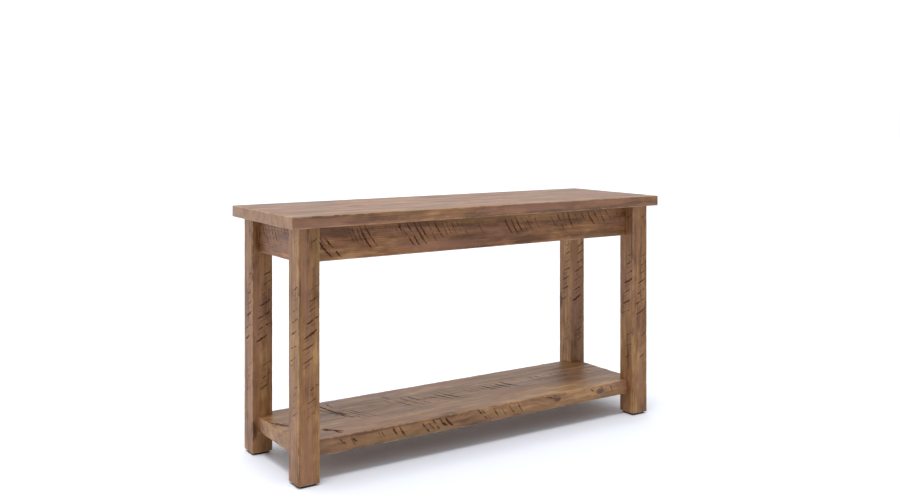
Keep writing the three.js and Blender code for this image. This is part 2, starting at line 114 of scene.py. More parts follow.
@dataclass(frozen=True)
class Block:
    """A box in the frame, given by its lowest and highest corners."""

    low: Vector
    high: Vector

    @classmethod
    def of(cls, *nodes: str) -> "Block":
        """The box round one or more parts of the frame.

        Args:
            nodes: the parts' names.

        Returns:
            The smallest box that holds them all.
        """
        boxes = [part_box(node) for node in nodes]
        low = Vector([min(box[0][axis] for box in boxes) for axis in range(3)])
        high = Vector([max(box[1][axis] for box in boxes) for axis in range(3)])
        return cls(low, high)

    @property
    def centre(self) -> Vector:
        """The middle of the box."""
        return (self.low + self.high) / 2

    @property
    def half(self) -> Vector:
        """Half the size of the box along each axis."""
        return (self.high - self.low) / 2

    def shortened(self, axis: Axis, length: float) -> "Block":
        """The same box with this much off both ends."""
        off = Vector([length if index == axis.value else 0.0 for index in range(3)])
        return Block(self.low + off, self.high - off)

    def lengthened(self, axis: Axis, length: float) -> "Block":
        """The same box with this much more at both ends."""
        return self.shortened(axis, -length)

    def raised(self, height: float) -> "Block":
        """The same box with a higher upper side."""
        return Block(self.low, self.high + Vector((0.0, 0.0, height)))

    def on_face(self, face: Face, across: float, up: float) -> Vector:
        """A point on one side of the box.

        Args:
            face: the side, seen from outside.
            across: distance to the right from the side's left edge.
            up: distance up from its lower edge.

        Returns:
            The point in the frame.
        """
        right, rise, out = (Vector(column) for column in face.turn.transposed())
        reach = [abs(self.half.dot(Vector([abs(part) for part in way]))) for way in (right, rise, out)]
        corner = self.centre - right * reach[0] - rise * reach[1] + out * reach[2]
        return corner + right * across + rise * up


# ---- Helpers for meshes ----


def wave(seed: int, places: np.ndarray, wavelength: float) -> np.ndarray:
    """A smooth wandering value between about -1 and 1 along a line.

    Args:
        seed: picks the wave.
        places: positions along the line, in metres.
        wavelength: the length of the longest swing, in metres.

    Returns:
        One value for each place.
    """
    draw = np.random.default_rng(seed)
    total = np.zeros_like(places)
    for octave in range(WAVE_OCTAVES):
        period = wavelength * WAVE_SHRINK**octave * draw.uniform(*WAVE_SPREAD)
        swing = np.sin(2 * math.pi * places / period + draw.uniform(0, 2 * math.pi))
        total += WAVE_FADE**octave * swing
    return total / WAVE_RANGE


def new_object(name: str, mesh: bpy.types.Mesh) -> bpy.types.Object:
    """Shows a mesh in the scene.

    Args:
        name: what the object is called.
        mesh: its mesh.

    Returns:
        The object, at the origin.
    """
    piece = bpy.data.objects.new(name, mesh)
    bpy.context.scene.collection.objects.link(piece)
    return piece


def frozen_mesh(piece: bpy.types.Object) -> bpy.types.Mesh:
    """Applies an object's modifiers.

    Args:
        piece: the object, which keeps its own mesh.

    Returns:
        The result as a plain mesh.
    """
    depsgraph = bpy.context.evaluated_depsgraph_get()
    depsgraph.update()
    return bpy.data.meshes.new_from_object(piece.evaluated_get(depsgraph), depsgraph=depsgraph)


def discard(*pieces: bpy.types.Object) -> None:
    """Removes helper objects and their meshes.

    Args:
        pieces: the objects to remove.
    """
    for piece in pieces:
        mesh = piece.data
        bpy.data.objects.remove(piece)
        bpy.data.meshes.remove(mesh)


@contextmanager
def reworked(mesh: bpy.types.Mesh) -> Iterator[bmesh.types.BMesh]:
    """Opens a mesh for editing and writes the edits back at the end.

    Args:
        mesh: the mesh to edit.

    Yields:
        The mesh in its editable form.
    """
    work = bmesh.new()
    work.from_mesh(mesh)
    yield work
    work.to_mesh(mesh)
    work.free()


def face_outwards(mesh: bpy.types.Mesh) -> None:
    """Turns every face of a closed mesh outwards."""
    with reworked(mesh) as work:
        bmesh.ops.recalc_face_normals(work, faces=work.faces)


def closed_mesh(name: str, points: list, faces: list[tuple[int, ...]]) -> bpy.types.Mesh:
    """A closed mesh whose faces point outwards.

    Args:
        name: what the mesh is called.
        points: its corners.
        faces: the corners of each face.

    Returns:
        The mesh.
    """
    mesh = bpy.data.meshes.new(name)
    mesh.from_pydata(points, [], faces)
    face_outwards(mesh)
    return mesh


def node_copy(node: str) -> bpy.types.Object:
    """Copies one part of the frame, with its loose triangles joined up.

    Args:
        node: the part's name.

    Returns:
        The copy, without a material.
    """
    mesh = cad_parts[node].data.copy()
    with reworked(mesh) as work:
        bmesh.ops.remove_doubles(work, verts=work.verts, dist=WELD)
    mesh.materials.clear()
    return new_object(f"copy_{node}", mesh)


def joined(name: str, *pieces: bpy.types.Object) -> bpy.types.Object:
    """Joins several objects into one and discards them.

    Args:
        name: what the result is called.
        pieces: the objects.

    Returns:
        One object that holds all their meshes.
    """
    work = bmesh.new()
    for piece in pieces:
        work.from_mesh(piece.data)
    mesh = pieces[0].data.copy()
    mesh.name = name
    work.to_mesh(mesh)
    work.free()
    discard(*pieces)
    return new_object(name, mesh)


def add_cut(piece: bpy.types.Object, cut: Cut, tool: bpy.types.Object, materials: str = "INDEX") -> None:
    """Adds a boolean to a piece.

    Args:
        piece: the piece that is cut.
        cut: what is left of it.
        tool: the closed object that cuts it.
        materials: how the fresh faces get their material, in the modifier's own words.
    """
    modifier = piece.modifiers.new(cut.name, "BOOLEAN")
    modifier.operation = cut.value
    modifier.solver = "MANIFOLD"
    modifier.material_mode = materials
    modifier.object = tool


def shaded(name: str, mesh: bpy.types.Mesh, crisp: float) -> bpy.types.Object:
    """Names and shades a finished mesh.

    Args:
        name: what the mesh and its object are called.
        mesh: the finished mesh.
        crisp: the least angle between faces that shows as an edge, in degrees.

    Returns:
        The object that shows it.
    """
    mesh.name = name
    mesh.shade_smooth()
    mesh.set_sharp_from_angle(angle=math.radians(crisp))
    return new_object(name, mesh)


def settle(piece: bpy.types.Object, material: bpy.types.Material, slot: str, *nodes: str) -> None:
    """Dresses a finished piece, joins it to the frame and reports it.

    Args:
        piece: the finished piece.
        material: its finish.
        slot: the record's material slot that the finish belongs to; not used.
        nodes: the parts of the frame that the piece stands for.
    """
    piece.data.materials.clear()
    piece.data.materials.append(material)
    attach(piece, BODY)
    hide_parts(*nodes)
    LOG.info("%s: %d faces", piece.name, len(piece.data.polygons))


# ---- Lofted wood with worn edges ----


@dataclass(frozen=True)
class Wear:
    """How a block's edges and faces have worn.

    Attributes:
        ease: the least rounding of an edge, in metres.
        chew: how much the rounding wanders, in metres.
        ripple: how far the faces dip, in metres.
        wavelength: the length of the slowest swing along an edge, in metres.
        seed: picks the pattern.
    """

    ease: float
    chew: float
    ripple: float
    wavelength: float
    seed: int

    MOST_CHEW = 1.4
    SLOW_SHARE = 0.5
    QUICK_SHARE = 0.7
    QUICKER = 7
    DIP_WAVES = 12
    DIP_LAP = (22 * MM, 90 * MM)
    DIP_PERIOD = (70 * MM, 420 * MM)

    @property
    def most(self) -> float:
        """The largest rounding there can be."""
        return self.ease + self.chew * self.MOST_CHEW

    def radii(self, edge: int, places: np.ndarray) -> np.ndarray:
        """The rounding along one edge.

        Args:
            edge: the edge's number.
            places: positions along it, in metres.

        Returns:
            A radius for each place.
        """
        slow = wave(self.seed * 11 + edge, places, self.wavelength)
        quick = wave(self.seed * 17 + edge + 5, places, self.wavelength / self.QUICKER)
        swing = self.SLOW_SHARE * np.abs(slow) + self.QUICK_SHARE * np.clip(quick, 0, 1) ** 2
        return self.ease + self.chew * swing

    def dips(self, places: np.ndarray, girth: np.ndarray) -> np.ndarray:
        """How far each point of the faces lies under the block's own faces.

        Args:
            places: positions along the block.
            girth: positions round its outline, with the whole way round last.

        Returns:
            A depth for every place and every point of the outline.
        """
        draw = np.random.default_rng(self.seed + 900)
        around = girth[-1]
        total = np.zeros((len(places), len(girth) - 1))
        for _ in range(self.DIP_WAVES):
            laps = max(1, round(around / draw.uniform(*self.DIP_LAP)))
            period = draw.uniform(*self.DIP_PERIOD) * draw.choice((-1, 1))
            turn = places[:, None] / period + laps * girth[None, :-1] / around + draw.uniform(0, 1)
            total += np.sin(2 * math.pi * turn)
        return self.ripple * (0.5 + 0.5 * np.tanh(total / math.sqrt(self.DIP_WAVES)))


@dataclass
class Loft:
    """A block of wood whose edges wear in and out, with faintly rippled faces.

    Attributes:
        block: the space that the wood fills.
        axis: the direction of its length.
        wear: how it has worn.
        glued: sides joined to a neighbour, -1 for low across and 1 for high across.
        worn_ends: whether the ends are worn too; otherwise the joinery cuts them.
        station: distance between the outlines along the length.
        cell: distance between points across a face.
        margin: width beside each edge that holds its rounding.
        skin: how far the sides stay inside the block.
        end_overrun: how far a cut end runs past the block.
        arc_steps: straight steps round each edge.
        glue_ease: the rounding of an edge at a glued joint.
    """

    block: Block
    axis: Axis
    wear: Wear
    glued: tuple[int, ...] = ()
    worn_ends: bool = False
    station: float = 8 * MM
    cell: float = 10 * MM
    margin: float = 7 * MM
    skin: float = 0.05 * MM
    end_overrun: float = 1 * MM
    arc_steps: int = 4
    glue_ease: float = 0.25 * MM

    SIGNS = ((-1, -1), (1, -1), (1, 1), (-1, 1))
    LEAST_STATIONS = 4

    def _stations(self) -> np.ndarray:
        """Where the outlines stand.

        Returns:
            Distances along the block, closer together at worn ends.
        """
        _, length = self._span()
        count = max(self.LEAST_STATIONS, round(length / self.station))
        if not self.worn_ends:
            return np.linspace(0, length, count + 1)
        curl = self.wear.most * (1 - np.cos(np.linspace(0, math.pi / 2, self.arc_steps + 2)))
        body = np.linspace(self.margin, length - self.margin, count)
        return np.concatenate([curl, body, (length - curl)[::-1]])

    def _span(self) -> tuple[float, float]:
        """The loft's reach along the block.

        Returns:
            Where it starts, and how long it is.
        """
        along = self.axis.order[0]
        over = -self.skin if self.worn_ends else self.end_overrun
        start = self.block.low[along] - over
        return start, self.block.high[along] + over - start

    def _outlines(self, places: np.ndarray) -> tuple[np.ndarray, np.ndarray]:
        """The outline across the block at every station.

        Args:
            places: the stations' distances along the block.

        Returns:
            Its points at every station, and the way out from each of them.
        """
        _, across, up = self.axis.order
        sides_in = 0.0 if self.glued else self.skin
        reach = np.array([self.block.half[across] - sides_in, self.block.half[up] - self.skin])
        parts, ways = [], []
        for corner, signs in enumerate(self.SIGNS):
            radius = self.wear.radii(corner, places)
            if signs[0] in self.glued:
                radius = np.full_like(places, self.glue_ease)
            angles = math.pi * (1 + corner / 2) + np.linspace(0, math.pi / 2, self.arc_steps + 1)
            spokes = np.stack([np.cos(angles), np.sin(angles)], axis=-1)
            centre = np.array(signs) * (reach - radius[:, None])
            parts.append(centre[:, None, :] + radius[:, None, None] * spokes)
            ways.append(spokes)
            following = self.SIGNS[(corner + 1) % len(self.SIGNS)]
            side = 0 if signs[1] == following[1] else 1
            limit = reach[side] - self.margin
            count = max(2, round(2 * limit / self.cell) + 1)
            line = np.zeros((count, 2))
            line[:, side] = np.linspace(-limit, limit, count) * following[side]
            line[:, 1 - side] = signs[1 - side] * reach[1 - side]
            parts.append(np.broadcast_to(line, (len(places), count, 2)))
            ways.append(np.broadcast_to(spokes[-1], (count, 2)))
        return np.concatenate(parts, axis=1), np.concatenate(ways)

    def _inset(self, places: np.ndarray, girth: np.ndarray) -> np.ndarray:
        """How far the worn ends draw every point in.

        Args:
            places: the stations' distances along the block.
            girth: positions round the outline, with the whole way round last.

        Returns:
            A distance for every station and every point of the outline.
        """
        inset = np.zeros((len(places), len(girth) - 1))
        if not self.worn_ends:
            return inset
        for end, distance in enumerate((places, places[-1] - places)):
            radius = self.wear.radii(4 + end, girth[:-1])[None, :]
            missing = np.clip(radius - distance[:, None], 0, None)
            inset += radius - np.sqrt(np.clip(radius**2 - missing**2, 0, None))
        return inset

    def build(self, name: str) -> bpy.types.Object:
        """Makes the lofted block.

        Args:
            name: what it is called.

        Returns:
            An object with a closed mesh.
        """
        along, across, up = self.axis.order
        start, _ = self._span()
        places = self._stations()
        outlines, ways = self._outlines(places)
        count, ring, _ = outlines.shape
        middle = outlines[count // 2]
        steps = np.linalg.norm(np.roll(middle, -1, axis=0) - middle, axis=1)
        girth = np.concatenate([[0.0], np.cumsum(steps)])
        inward = self.wear.dips(places, girth)
        for sign in self.glued:
            reach = self.block.half[across]
            inward = inward * np.clip((reach - sign * middle[:, 0]) / (2 * self.margin), 0, 1)
        shift = -ways[None] * (inward + self._inset(places, girth))[:, :, None]
        for sign in self.glued:
            beside = sign * middle[:, 0] > self.block.half[across] - self.glue_ease * 1.5
            shift[:, beside, 0] = 0.0
        outlines = outlines + shift
        points = np.zeros((count, ring, 3))
        points[:, :, along] = start + places[:, None]
        points[:, :, across] = self.block.centre[across] + outlines[:, :, 0]
        points[:, :, up] = self.block.centre[up] + outlines[:, :, 1]
        faces = [tuple(range(ring)), tuple(range((count - 1) * ring, count * ring))]
        for base in range(0, (count - 1) * ring, ring):
            for step in range(ring):
                turned = (step + 1) % ring
                faces.append((base + step, base + turned, base + ring + turned, base + ring + step))
        return new_object(name, closed_mesh(name, points.reshape(-1, 3).tolist(), faces))


# ---- Node trees ----


@dataclass(frozen=True)
class Term:
    """A value in a node tree that takes part in sums as a plain number does.

    Attributes:
        sketch: the sketch of its tree.
        socket: the output that gives it.
    """

    sketch: "Sketch"
    socket: Socket

    def __add__(self, other: "Term | float") -> "Term":
        """The two added."""
        return self.sketch.math("ADD", self, other)

    def __sub__(self, other: "Term | float") -> "Term":
        """This less the other."""
        return self.sketch.math("SUBTRACT", self, other)

    def __rsub__(self, other: float) -> "Term":
        """A plain number less this."""
        return self.sketch.math("SUBTRACT", other, self)

    def __mul__(self, other: "Term | float") -> "Term":
        """The two multiplied."""
        return self.sketch.math("MULTIPLY", self, other)

    def __truediv__(self, other: "Term | float") -> "Term":
        """This divided by the other."""
        return self.sketch.math("DIVIDE", self, other)

    def __rtruediv__(self, other: float) -> "Term":
        """A plain number divided by this."""
        return self.sketch.math("DIVIDE", other, self)

    def __abs__(self) -> "Term":
        """Its size without its sign."""
        return self.sketch.math("ABSOLUTE", self)

    def at_least(self, other: "Term | float") -> "Term":
        """The larger of the two."""
        return self.sketch.math("MAXIMUM", self, other)

    def at_most(self, other: "Term | float") -> "Term":
        """The smaller of the two."""
        return self.sketch.math("MINIMUM", self, other)


Number = Term | float
Value = Term | float | tuple[float, ...]


@dataclass(frozen=True)
class Sketch:
    """Short calls that add and link nodes in a tree.

    Attributes:
        tree: the node tree.
    """

    tree: bpy.types.NodeTree

    LENGTHS = ("LENGTH", "DISTANCE", "DOT_PRODUCT")

    def add(
        self, kind: str, fed: dict[int | str, object] | None = None, **settings: object
    ) -> bpy.types.Node:
        """Adds a node.

        Args:
            kind: its type.
            fed: a term or a constant for its inputs, by their names or numbers.
            settings: its own properties.

        Returns:
            The node.
        """
        node = self.tree.nodes.new(kind)
        for name, value in settings.items():
            setattr(node, name, value)
        for place, value in (fed or {}).items():
            self.link(value, node.inputs[place])
        return node

    def link(self, value: object, socket: Socket) -> None:
        """Feeds a socket.

        Args:
            value: a term to link, or a constant to set.
            socket: the input that gets it.
        """
        if isinstance(value, Term):
            self.tree.links.new(value.socket, socket)
        else:
            socket.default_value = value

    def make(
        self, kind: str, output: int | str, fed: dict[int | str, object] | None = None, **settings: object
    ) -> Term:
        """Adds a node, as add does, and gives the term at one of its outputs."""
        return Term(self, self.add(kind, fed, **settings).outputs[output])

    def math(self, operation: str, first: Number, second: Number = 0.0) -> Term:
        """The result of a sum with one or two numbers."""
        return self.make("ShaderNodeMath", 0, {0: first, 1: second}, operation=operation)

    def vector(self, operation: str, first: Value, second: Value = (0.0, 0.0, 0.0)) -> Term:
        """The result of a sum with one or two vectors."""
        output = "Value" if operation in self.LENGTHS else "Vector"
        return self.make("ShaderNodeVectorMath", output, {0: first, 1: second}, operation=operation)

    def join(self, x: Number, y: Number, z: Number) -> Term:
        """A vector from three numbers."""
        return self.make("ShaderNodeCombineXYZ", 0, {0: x, 1: y, 2: z})

    def split(self, vector: Term) -> tuple[Term, ...]:
        """The three numbers of a vector."""
        node = self.add("ShaderNodeSeparateXYZ", {0: vector})
        return tuple(Term(self, output) for output in node.outputs)

    def noise(self, place: Term, stretch: Stretch, detail: float = 3.0, rough: float = 0.5) -> Term:
        """A noise of about 0 to 1.

        Args:
            place: where to read it.
            stretch: how many times it changes in a metre, along, across and up.
            detail: how many finer layers it has.
            rough: how strong they are.

        Returns:
            The noise's value.
        """
        vector = self.vector("MULTIPLY", place, stretch)
        fed = {"Vector": vector, "Scale": 1.0, "Detail": detail, "Roughness": rough}
        return self.make("ShaderNodeTexNoise", 0, fed)

    def remap(
        self,
        value: Term,
        low: Number,
        high: Number,
        first: Number = 0.0,
        last: Number = 1.0,
        way: str = "SMOOTHSTEP",
    ) -> Term:
        """Carries low and high to first and last, in one of the node's own ways, and holds its ends."""
        fed = dict(enumerate((value, low, high, first, last)))
        return self.make("ShaderNodeMapRange", 0, fed, interpolation_type=way)

    def fade(self, value: Term, low: Number, high: Number, first: Number, last: Number) -> Term:
        """Does what remap does, but evenly."""
        return self.remap(value, low, high, first, last, "LINEAR")

    def blend(self, amount: Number, first: Term | Colour, second: Term | Colour) -> Term:
        """A mix of two colours.

        Args:
            amount: the second colour's share.
            first: the first colour.
            second: the second colour.

        Returns:
            The mixed colour.
        """
        fed = {0: amount}
        for place, colour in ((6, first), (7, second)):
            fed[place] = (*colour, 1.0) if isinstance(colour, tuple) else colour
        return self.make("ShaderNodeMix", 2, fed, data_type="RGBA")

    def ramp(self, value: Term, stops: tuple[tuple[float, Colour], ...]) -> Term:
        """A colour read off a row of stops.

        Args:
            value: the place in the row, from 0 to 1.
            stops: the place and the colour of each stop.

        Returns:
            The colour.
        """
        node = self.add("ShaderNodeValToRGB", {0: value})
        marks = node.color_ramp.elements
        while len(marks) < len(stops):
            marks.new(0.5)
        for mark, (place, colour) in zip(marks, stops):
            mark.position = place
            mark.color = (*colour, 1.0)
        return Term(self, node.outputs[0])

    def bump(self, height: Term, strength: float, distance: float) -> Term:
        """The way out of a surface, tilted by a relief that is this deep."""
        fed = {"Strength": strength, "Distance": distance, "Height": height}
        return self.make("ShaderNodeBump", "Normal", fed)


# ---- Saw marks ----


@dataclass(frozen=True)
class Knot:
    """A knot that shows on one face.

    Attributes:
        place: its heart, in the frame, in metres.
        radius: how far the grain bends round it.
    """

    place: tuple[float, float, float]
    radius: float


@dataclass(frozen=True)
class MarkRun:
    """A run of saw marks that step along one face, in millimetres.

    Attributes:
        across: the first mark's middle, to the right from the face's left edge.
        up: its height above the face's lower edge.
        length: a mark's usual length.
        lean: the angle that a mark rises by towards the right, in degrees.
        count: how many marks.
        pitch: how far each mark's middle lies to the right of the one before.
        climb: how far it lies above the one before.
        bite: how deep the marks are against the usual depth.
    """

    across: float
    up: float
    length: float
    lean: float
    count: int = 1
    pitch: float = 0.0
    climb: float = 0.0
    bite: float = 1.0


class ShapeTree:
    """A node tree that makes geometry from named inputs.

    Attributes:
        NUMBERS: the names of its sizes.
        COUNTS: the names of its whole numbers.
        MATERIAL: the name of the material that it leaves on the geometry.
    """

    NUMBERS: tuple[str, ...] = ()
    COUNTS: tuple[str, ...] = ()
    MATERIAL = "Material"

    def __init__(self, title: str) -> None:
        """Builds the tree with its inputs and its output.

        Args:
            title: what the tree is called.
        """
        self.tree = bpy.data.node_groups.new(title, "GeometryNodeTree")
        self.sketch = Sketch(self.tree)
        kinds = {
            "Geometry": "Geometry",
            **dict.fromkeys(self.NUMBERS, "Float"),
            **dict.fromkeys(self.COUNTS, "Int"),
            self.MATERIAL: "Material",
        }
        for name, kind in kinds.items():
            self.tree.interface.new_socket(name, in_out="INPUT", socket_type=f"NodeSocket{kind}")
        self.tree.interface.new_socket("Geometry", in_out="OUTPUT", socket_type="NodeSocketGeometry")
        group = self.sketch.add("NodeGroupInput")
        self.given = {name: Term(self.sketch, group.outputs[name]) for name in kinds}
        self._finish(self._shape())

    def _shape(self) -> Term:
        """The geometry that the tree makes."""
        raise NotImplementedError

    def _finish(self, shape: Term) -> None:
        """Ends the tree with plain, dressed geometry.

        Args:
            shape: the geometry so far.
        """
        sketch, geometry = self.sketch, "Geometry"
        plain = sketch.make("GeometryNodeRealizeInstances", geometry, {geometry: shape})
        fed = {geometry: plain, "Material": self.given[self.MATERIAL]}
        dressed = sketch.make("GeometryNodeSetMaterial", geometry, fed)
        sketch.add("NodeGroupOutput", {geometry: dressed})

    def run(self, carrier: bpy.types.Mesh, settings: dict[str, object]) -> bpy.types.Mesh:
        """Runs the tree once.

        Args:
            carrier: the mesh that the tree starts from.
            settings: the tree's inputs by name.

        Returns:
            The result as a plain mesh.
        """
        holder = new_object(carrier.name, carrier)
        modifier = holder.modifiers.new("shape", "NODES")
        modifier.node_group = self.tree
        inputs = [item for item in self.tree.interface.items_tree if item.in_out == "INPUT"]
        identifiers = {item.name: item.identifier for item in inputs}
        for name, value in settings.items():
            modifier[identifiers[name]] = value
        mesh = frozen_mesh(holder)
        discard(holder)
        return mesh


class MarkTree(ShapeTree):
    """The node tree that turns points into saw-blade shaped cutters."""

    LENGTH = "Mark Length"
    WIDTH = "Mark Width"
    DEPTH = "Mark Depth"
    BLADE = "Blade Radius"
    SPREAD = "Length Spread"
    RAGGED = "Ragged Depth"
    SEED = "Seed"
    NUMBERS = (LENGTH, WIDTH, DEPTH, BLADE, SPREAD, RAGGED)
    COUNTS = (SEED,)
    TURN_ATTRIBUTE = "turn"
    REACH_ATTRIBUTE = "reach"
    TEARS_PER_METRE = 190.0
    ARC_POINTS = 15
    STAR_POINTS = 4
    STAR_WAIST = 0.3
    TAPER = 0.45
    LEAST_END = 0.05

    def __init__(self) -> None:
        """Builds the tree, and the two plain materials that tell cut faces from old ones."""
        self.old_face = bpy.data.materials.new("old_face")
        self.fresh_cut = bpy.data.materials.new("fresh_cut")
        super().__init__("saw_marks")

    def _attribute(self, name: str) -> Term:
        """One of the points' own vectors."""
        kind = "GeometryNodeInputNamedAttribute"
        return self.sketch.make(kind, "Attribute", {"Name": name}, data_type="FLOAT_VECTOR")

    def _shape(self) -> Term:
        """Cutters at every point, turned and sized by the points' attributes, with torn edges.

        Returns:
            The cutters.
        """
        sketch, given = self.sketch, self.given
        euler = {"Euler": self._attribute(self.TURN_ATTRIBUTE)}
        range_ends = {2: 1.0 - given[self.SPREAD], 3: given[self.SPREAD] + 1.0, "Seed": given[self.SEED]}
        share = sketch.make("FunctionNodeRandomValue", 1, range_ends, data_type="FLOAT")
        placed = {
            "Points": given["Geometry"],
            "Instance": self._cutter(),
            "Rotation": sketch.make("FunctionNodeEulerToRotation", "Rotation", euler),
            "Scale": sketch.vector("MULTIPLY", self._attribute(self.REACH_ATTRIBUTE), share),
        }
        cutters = sketch.make("GeometryNodeInstanceOnPoints", "Instances", placed)
        plain = sketch.make("GeometryNodeRealizeInstances", "Geometry", {"Geometry": cutters})
        torn = {"Geometry": plain, "Offset": self._tears()}
        return sketch.make("GeometryNodeSetPosition", "Geometry", torn)

    def _tears(self) -> Term:
        """The torn grain along every mark.

        Returns:
            An offset for each point of the cutters.
        """
        sketch = self.sketch
        place = sketch.make("GeometryNodeInputPosition", 0)
        fed = {"Scale": self.TEARS_PER_METRE, "Detail": 1.0, "Vector": place}
        noise = sketch.make("ShaderNodeTexNoise", "Color", fed)
        swing = sketch.vector("SUBTRACT", noise, (0.5, 0.5, 0.5))
        scaled = {0: swing, "Scale": self.given[self.RAGGED] * 2.0}
        return sketch.make("ShaderNodeVectorMath", 0, scaled, operation="SCALE")

    def _cutter(self) -> Term:
        """One cutter along +X, curved like the blade's rim and thinning to nothing at its ends.

        Returns:
            The cutter.
        """
        sketch, given = self.sketch, self.given
        blade = given[self.BLADE]
        sweep = given[self.LENGTH] / blade
        rim = {
            "Resolution": self.ARC_POINTS,
            "Radius": blade,
            "Start Angle": -math.pi / 2 - sweep / 2.0,
            "Sweep Angle": sweep,
        }
        arc = sketch.make("GeometryNodeCurveArc", "Curve", rim)
        raised = {"Geometry": arc, "Translation": sketch.join(0.0, blade, 0.0)}
        path = sketch.make("GeometryNodeTransform", "Geometry", raised)
        path = sketch.make("GeometryNodeSetCurveNormal", "Curve", {"Curve": path}, mode="Z_UP")
        points = {"Points": self.STAR_POINTS, "Inner Radius": self.STAR_WAIST, "Outer Radius": 1.0}
        star = sketch.make("GeometryNodeCurveStar", "Curve", points)
        stretch = sketch.join(given[self.WIDTH] / 2.0, given[self.DEPTH], 1.0)
        section = sketch.make("GeometryNodeTransform", "Geometry", {"Geometry": star, "Scale": stretch})
        share = sketch.make("GeometryNodeSplineParameter", "Factor")
        hump = sketch.math("SINE", share * math.pi).at_least(0.0)
        taper = sketch.math("POWER", hump, self.TAPER).at_least(self.LEAST_END)
        swept = {"Curve": path, "Profile Curve": section, "Scale": taper, "Fill Caps": True}
        return sketch.make("GeometryNodeCurveToMesh", "Mesh", swept)


class ThreadTree(ShapeTree):
    """The node tree that turns a threaded rod, from its head at the origin up to its tip."""

    LENGTH = "Length"
    RADIUS = "Radius"
    HEAD_RADIUS = "Head Radius"
    HEAD_LENGTH = "Head Length"
    TIP_LENGTH = "Tip Length"
    THREAD_DEPTH = "Thread Depth"
    FINE_PITCH = "Fine Pitch"
    COARSE_PITCH = "Coarse Pitch"
    COARSE_LENGTH = "Coarse Length"
    ROWS = "Rows"
    NUMBERS = (
        LENGTH, RADIUS, HEAD_RADIUS, HEAD_LENGTH, TIP_LENGTH,
        THREAD_DEPTH, FINE_PITCH, COARSE_PITCH, COARSE_LENGTH,
    )
    COUNTS = (ROWS,)
    SPOKES = 18
    BLUNT = 0.12
    RUN_OUT = 0.6 * MM
    WELD = 0.004 * MM

    def __init__(self) -> None:
        """Builds the tree."""
        super().__init__("turned_thread")

    def _shape(self) -> Term:
        """A grid wrapped round the rod's axis, with its first and last rows closed to a point.

        Returns:
            The rod.
        """
        sketch, rows = self.sketch, self.given[self.ROWS]
        counts = {"Vertices X": rows, "Vertices Y": self.SPOKES + 1}
        grid = sketch.make("GeometryNodeMeshGrid", "Mesh", counts)
        x, y, _ = sketch.split(sketch.make("GeometryNodeInputPosition", 0))
        row, turn = x + 0.5, y + 0.5
        gap = 1.0 / (rows - 1.0)
        share = ((row - gap) / (1.0 - gap * 2.0)).at_least(0.0).at_most(1.0)
        height = share * self.given[self.LENGTH]
        open_row = sketch.math("GREATER_THAN", row.at_most(1.0 - row), gap * 0.5)
        radius = self._radius(height, turn) * open_row
        angle = turn * (2 * math.pi)
        x, y = radius * sketch.math("COSINE", angle), radius * sketch.math("SINE", angle)
        wrapped = {"Geometry": grid, "Position": sketch.join(x, y, height)}
        rod = sketch.make("GeometryNodeSetPosition", "Geometry", wrapped)
        welded = {"Geometry": rod, "Distance": self.WELD}
        return sketch.make("GeometryNodeMergeByDistance", "Geometry", welded)

    def _radius(self, height: Term, turn: Term) -> Term:
        """The rod's radius, with its head, threads and tip.

        Args:
            height: how far up the rod.
            turn: which share of a turn round it.

        Returns:
            The radius.
        """
        sketch, given = self.sketch, self.given
        length, head = given[self.LENGTH], given[self.HEAD_LENGTH]
        body = sketch.fade(height, 0.0, head, given[self.HEAD_RADIUS], given[self.RADIUS])
        tip = sketch.fade(height, length - given[self.TIP_LENGTH], length, 1.0, self.BLUNT)
        change = length - given[self.COARSE_LENGTH]
        fine = height.at_most(change) / given[self.FINE_PITCH]
        coarse = (height - change).at_least(0.0) / given[self.COARSE_PITCH]
        flank = abs(sketch.math("FRACT", fine + coarse - turn) - 0.5) * 2.0
        depth = sketch.fade(height, head, head + self.RUN_OUT, 0.0, given[self.THREAD_DEPTH])
        return (body - flank * depth) * tip


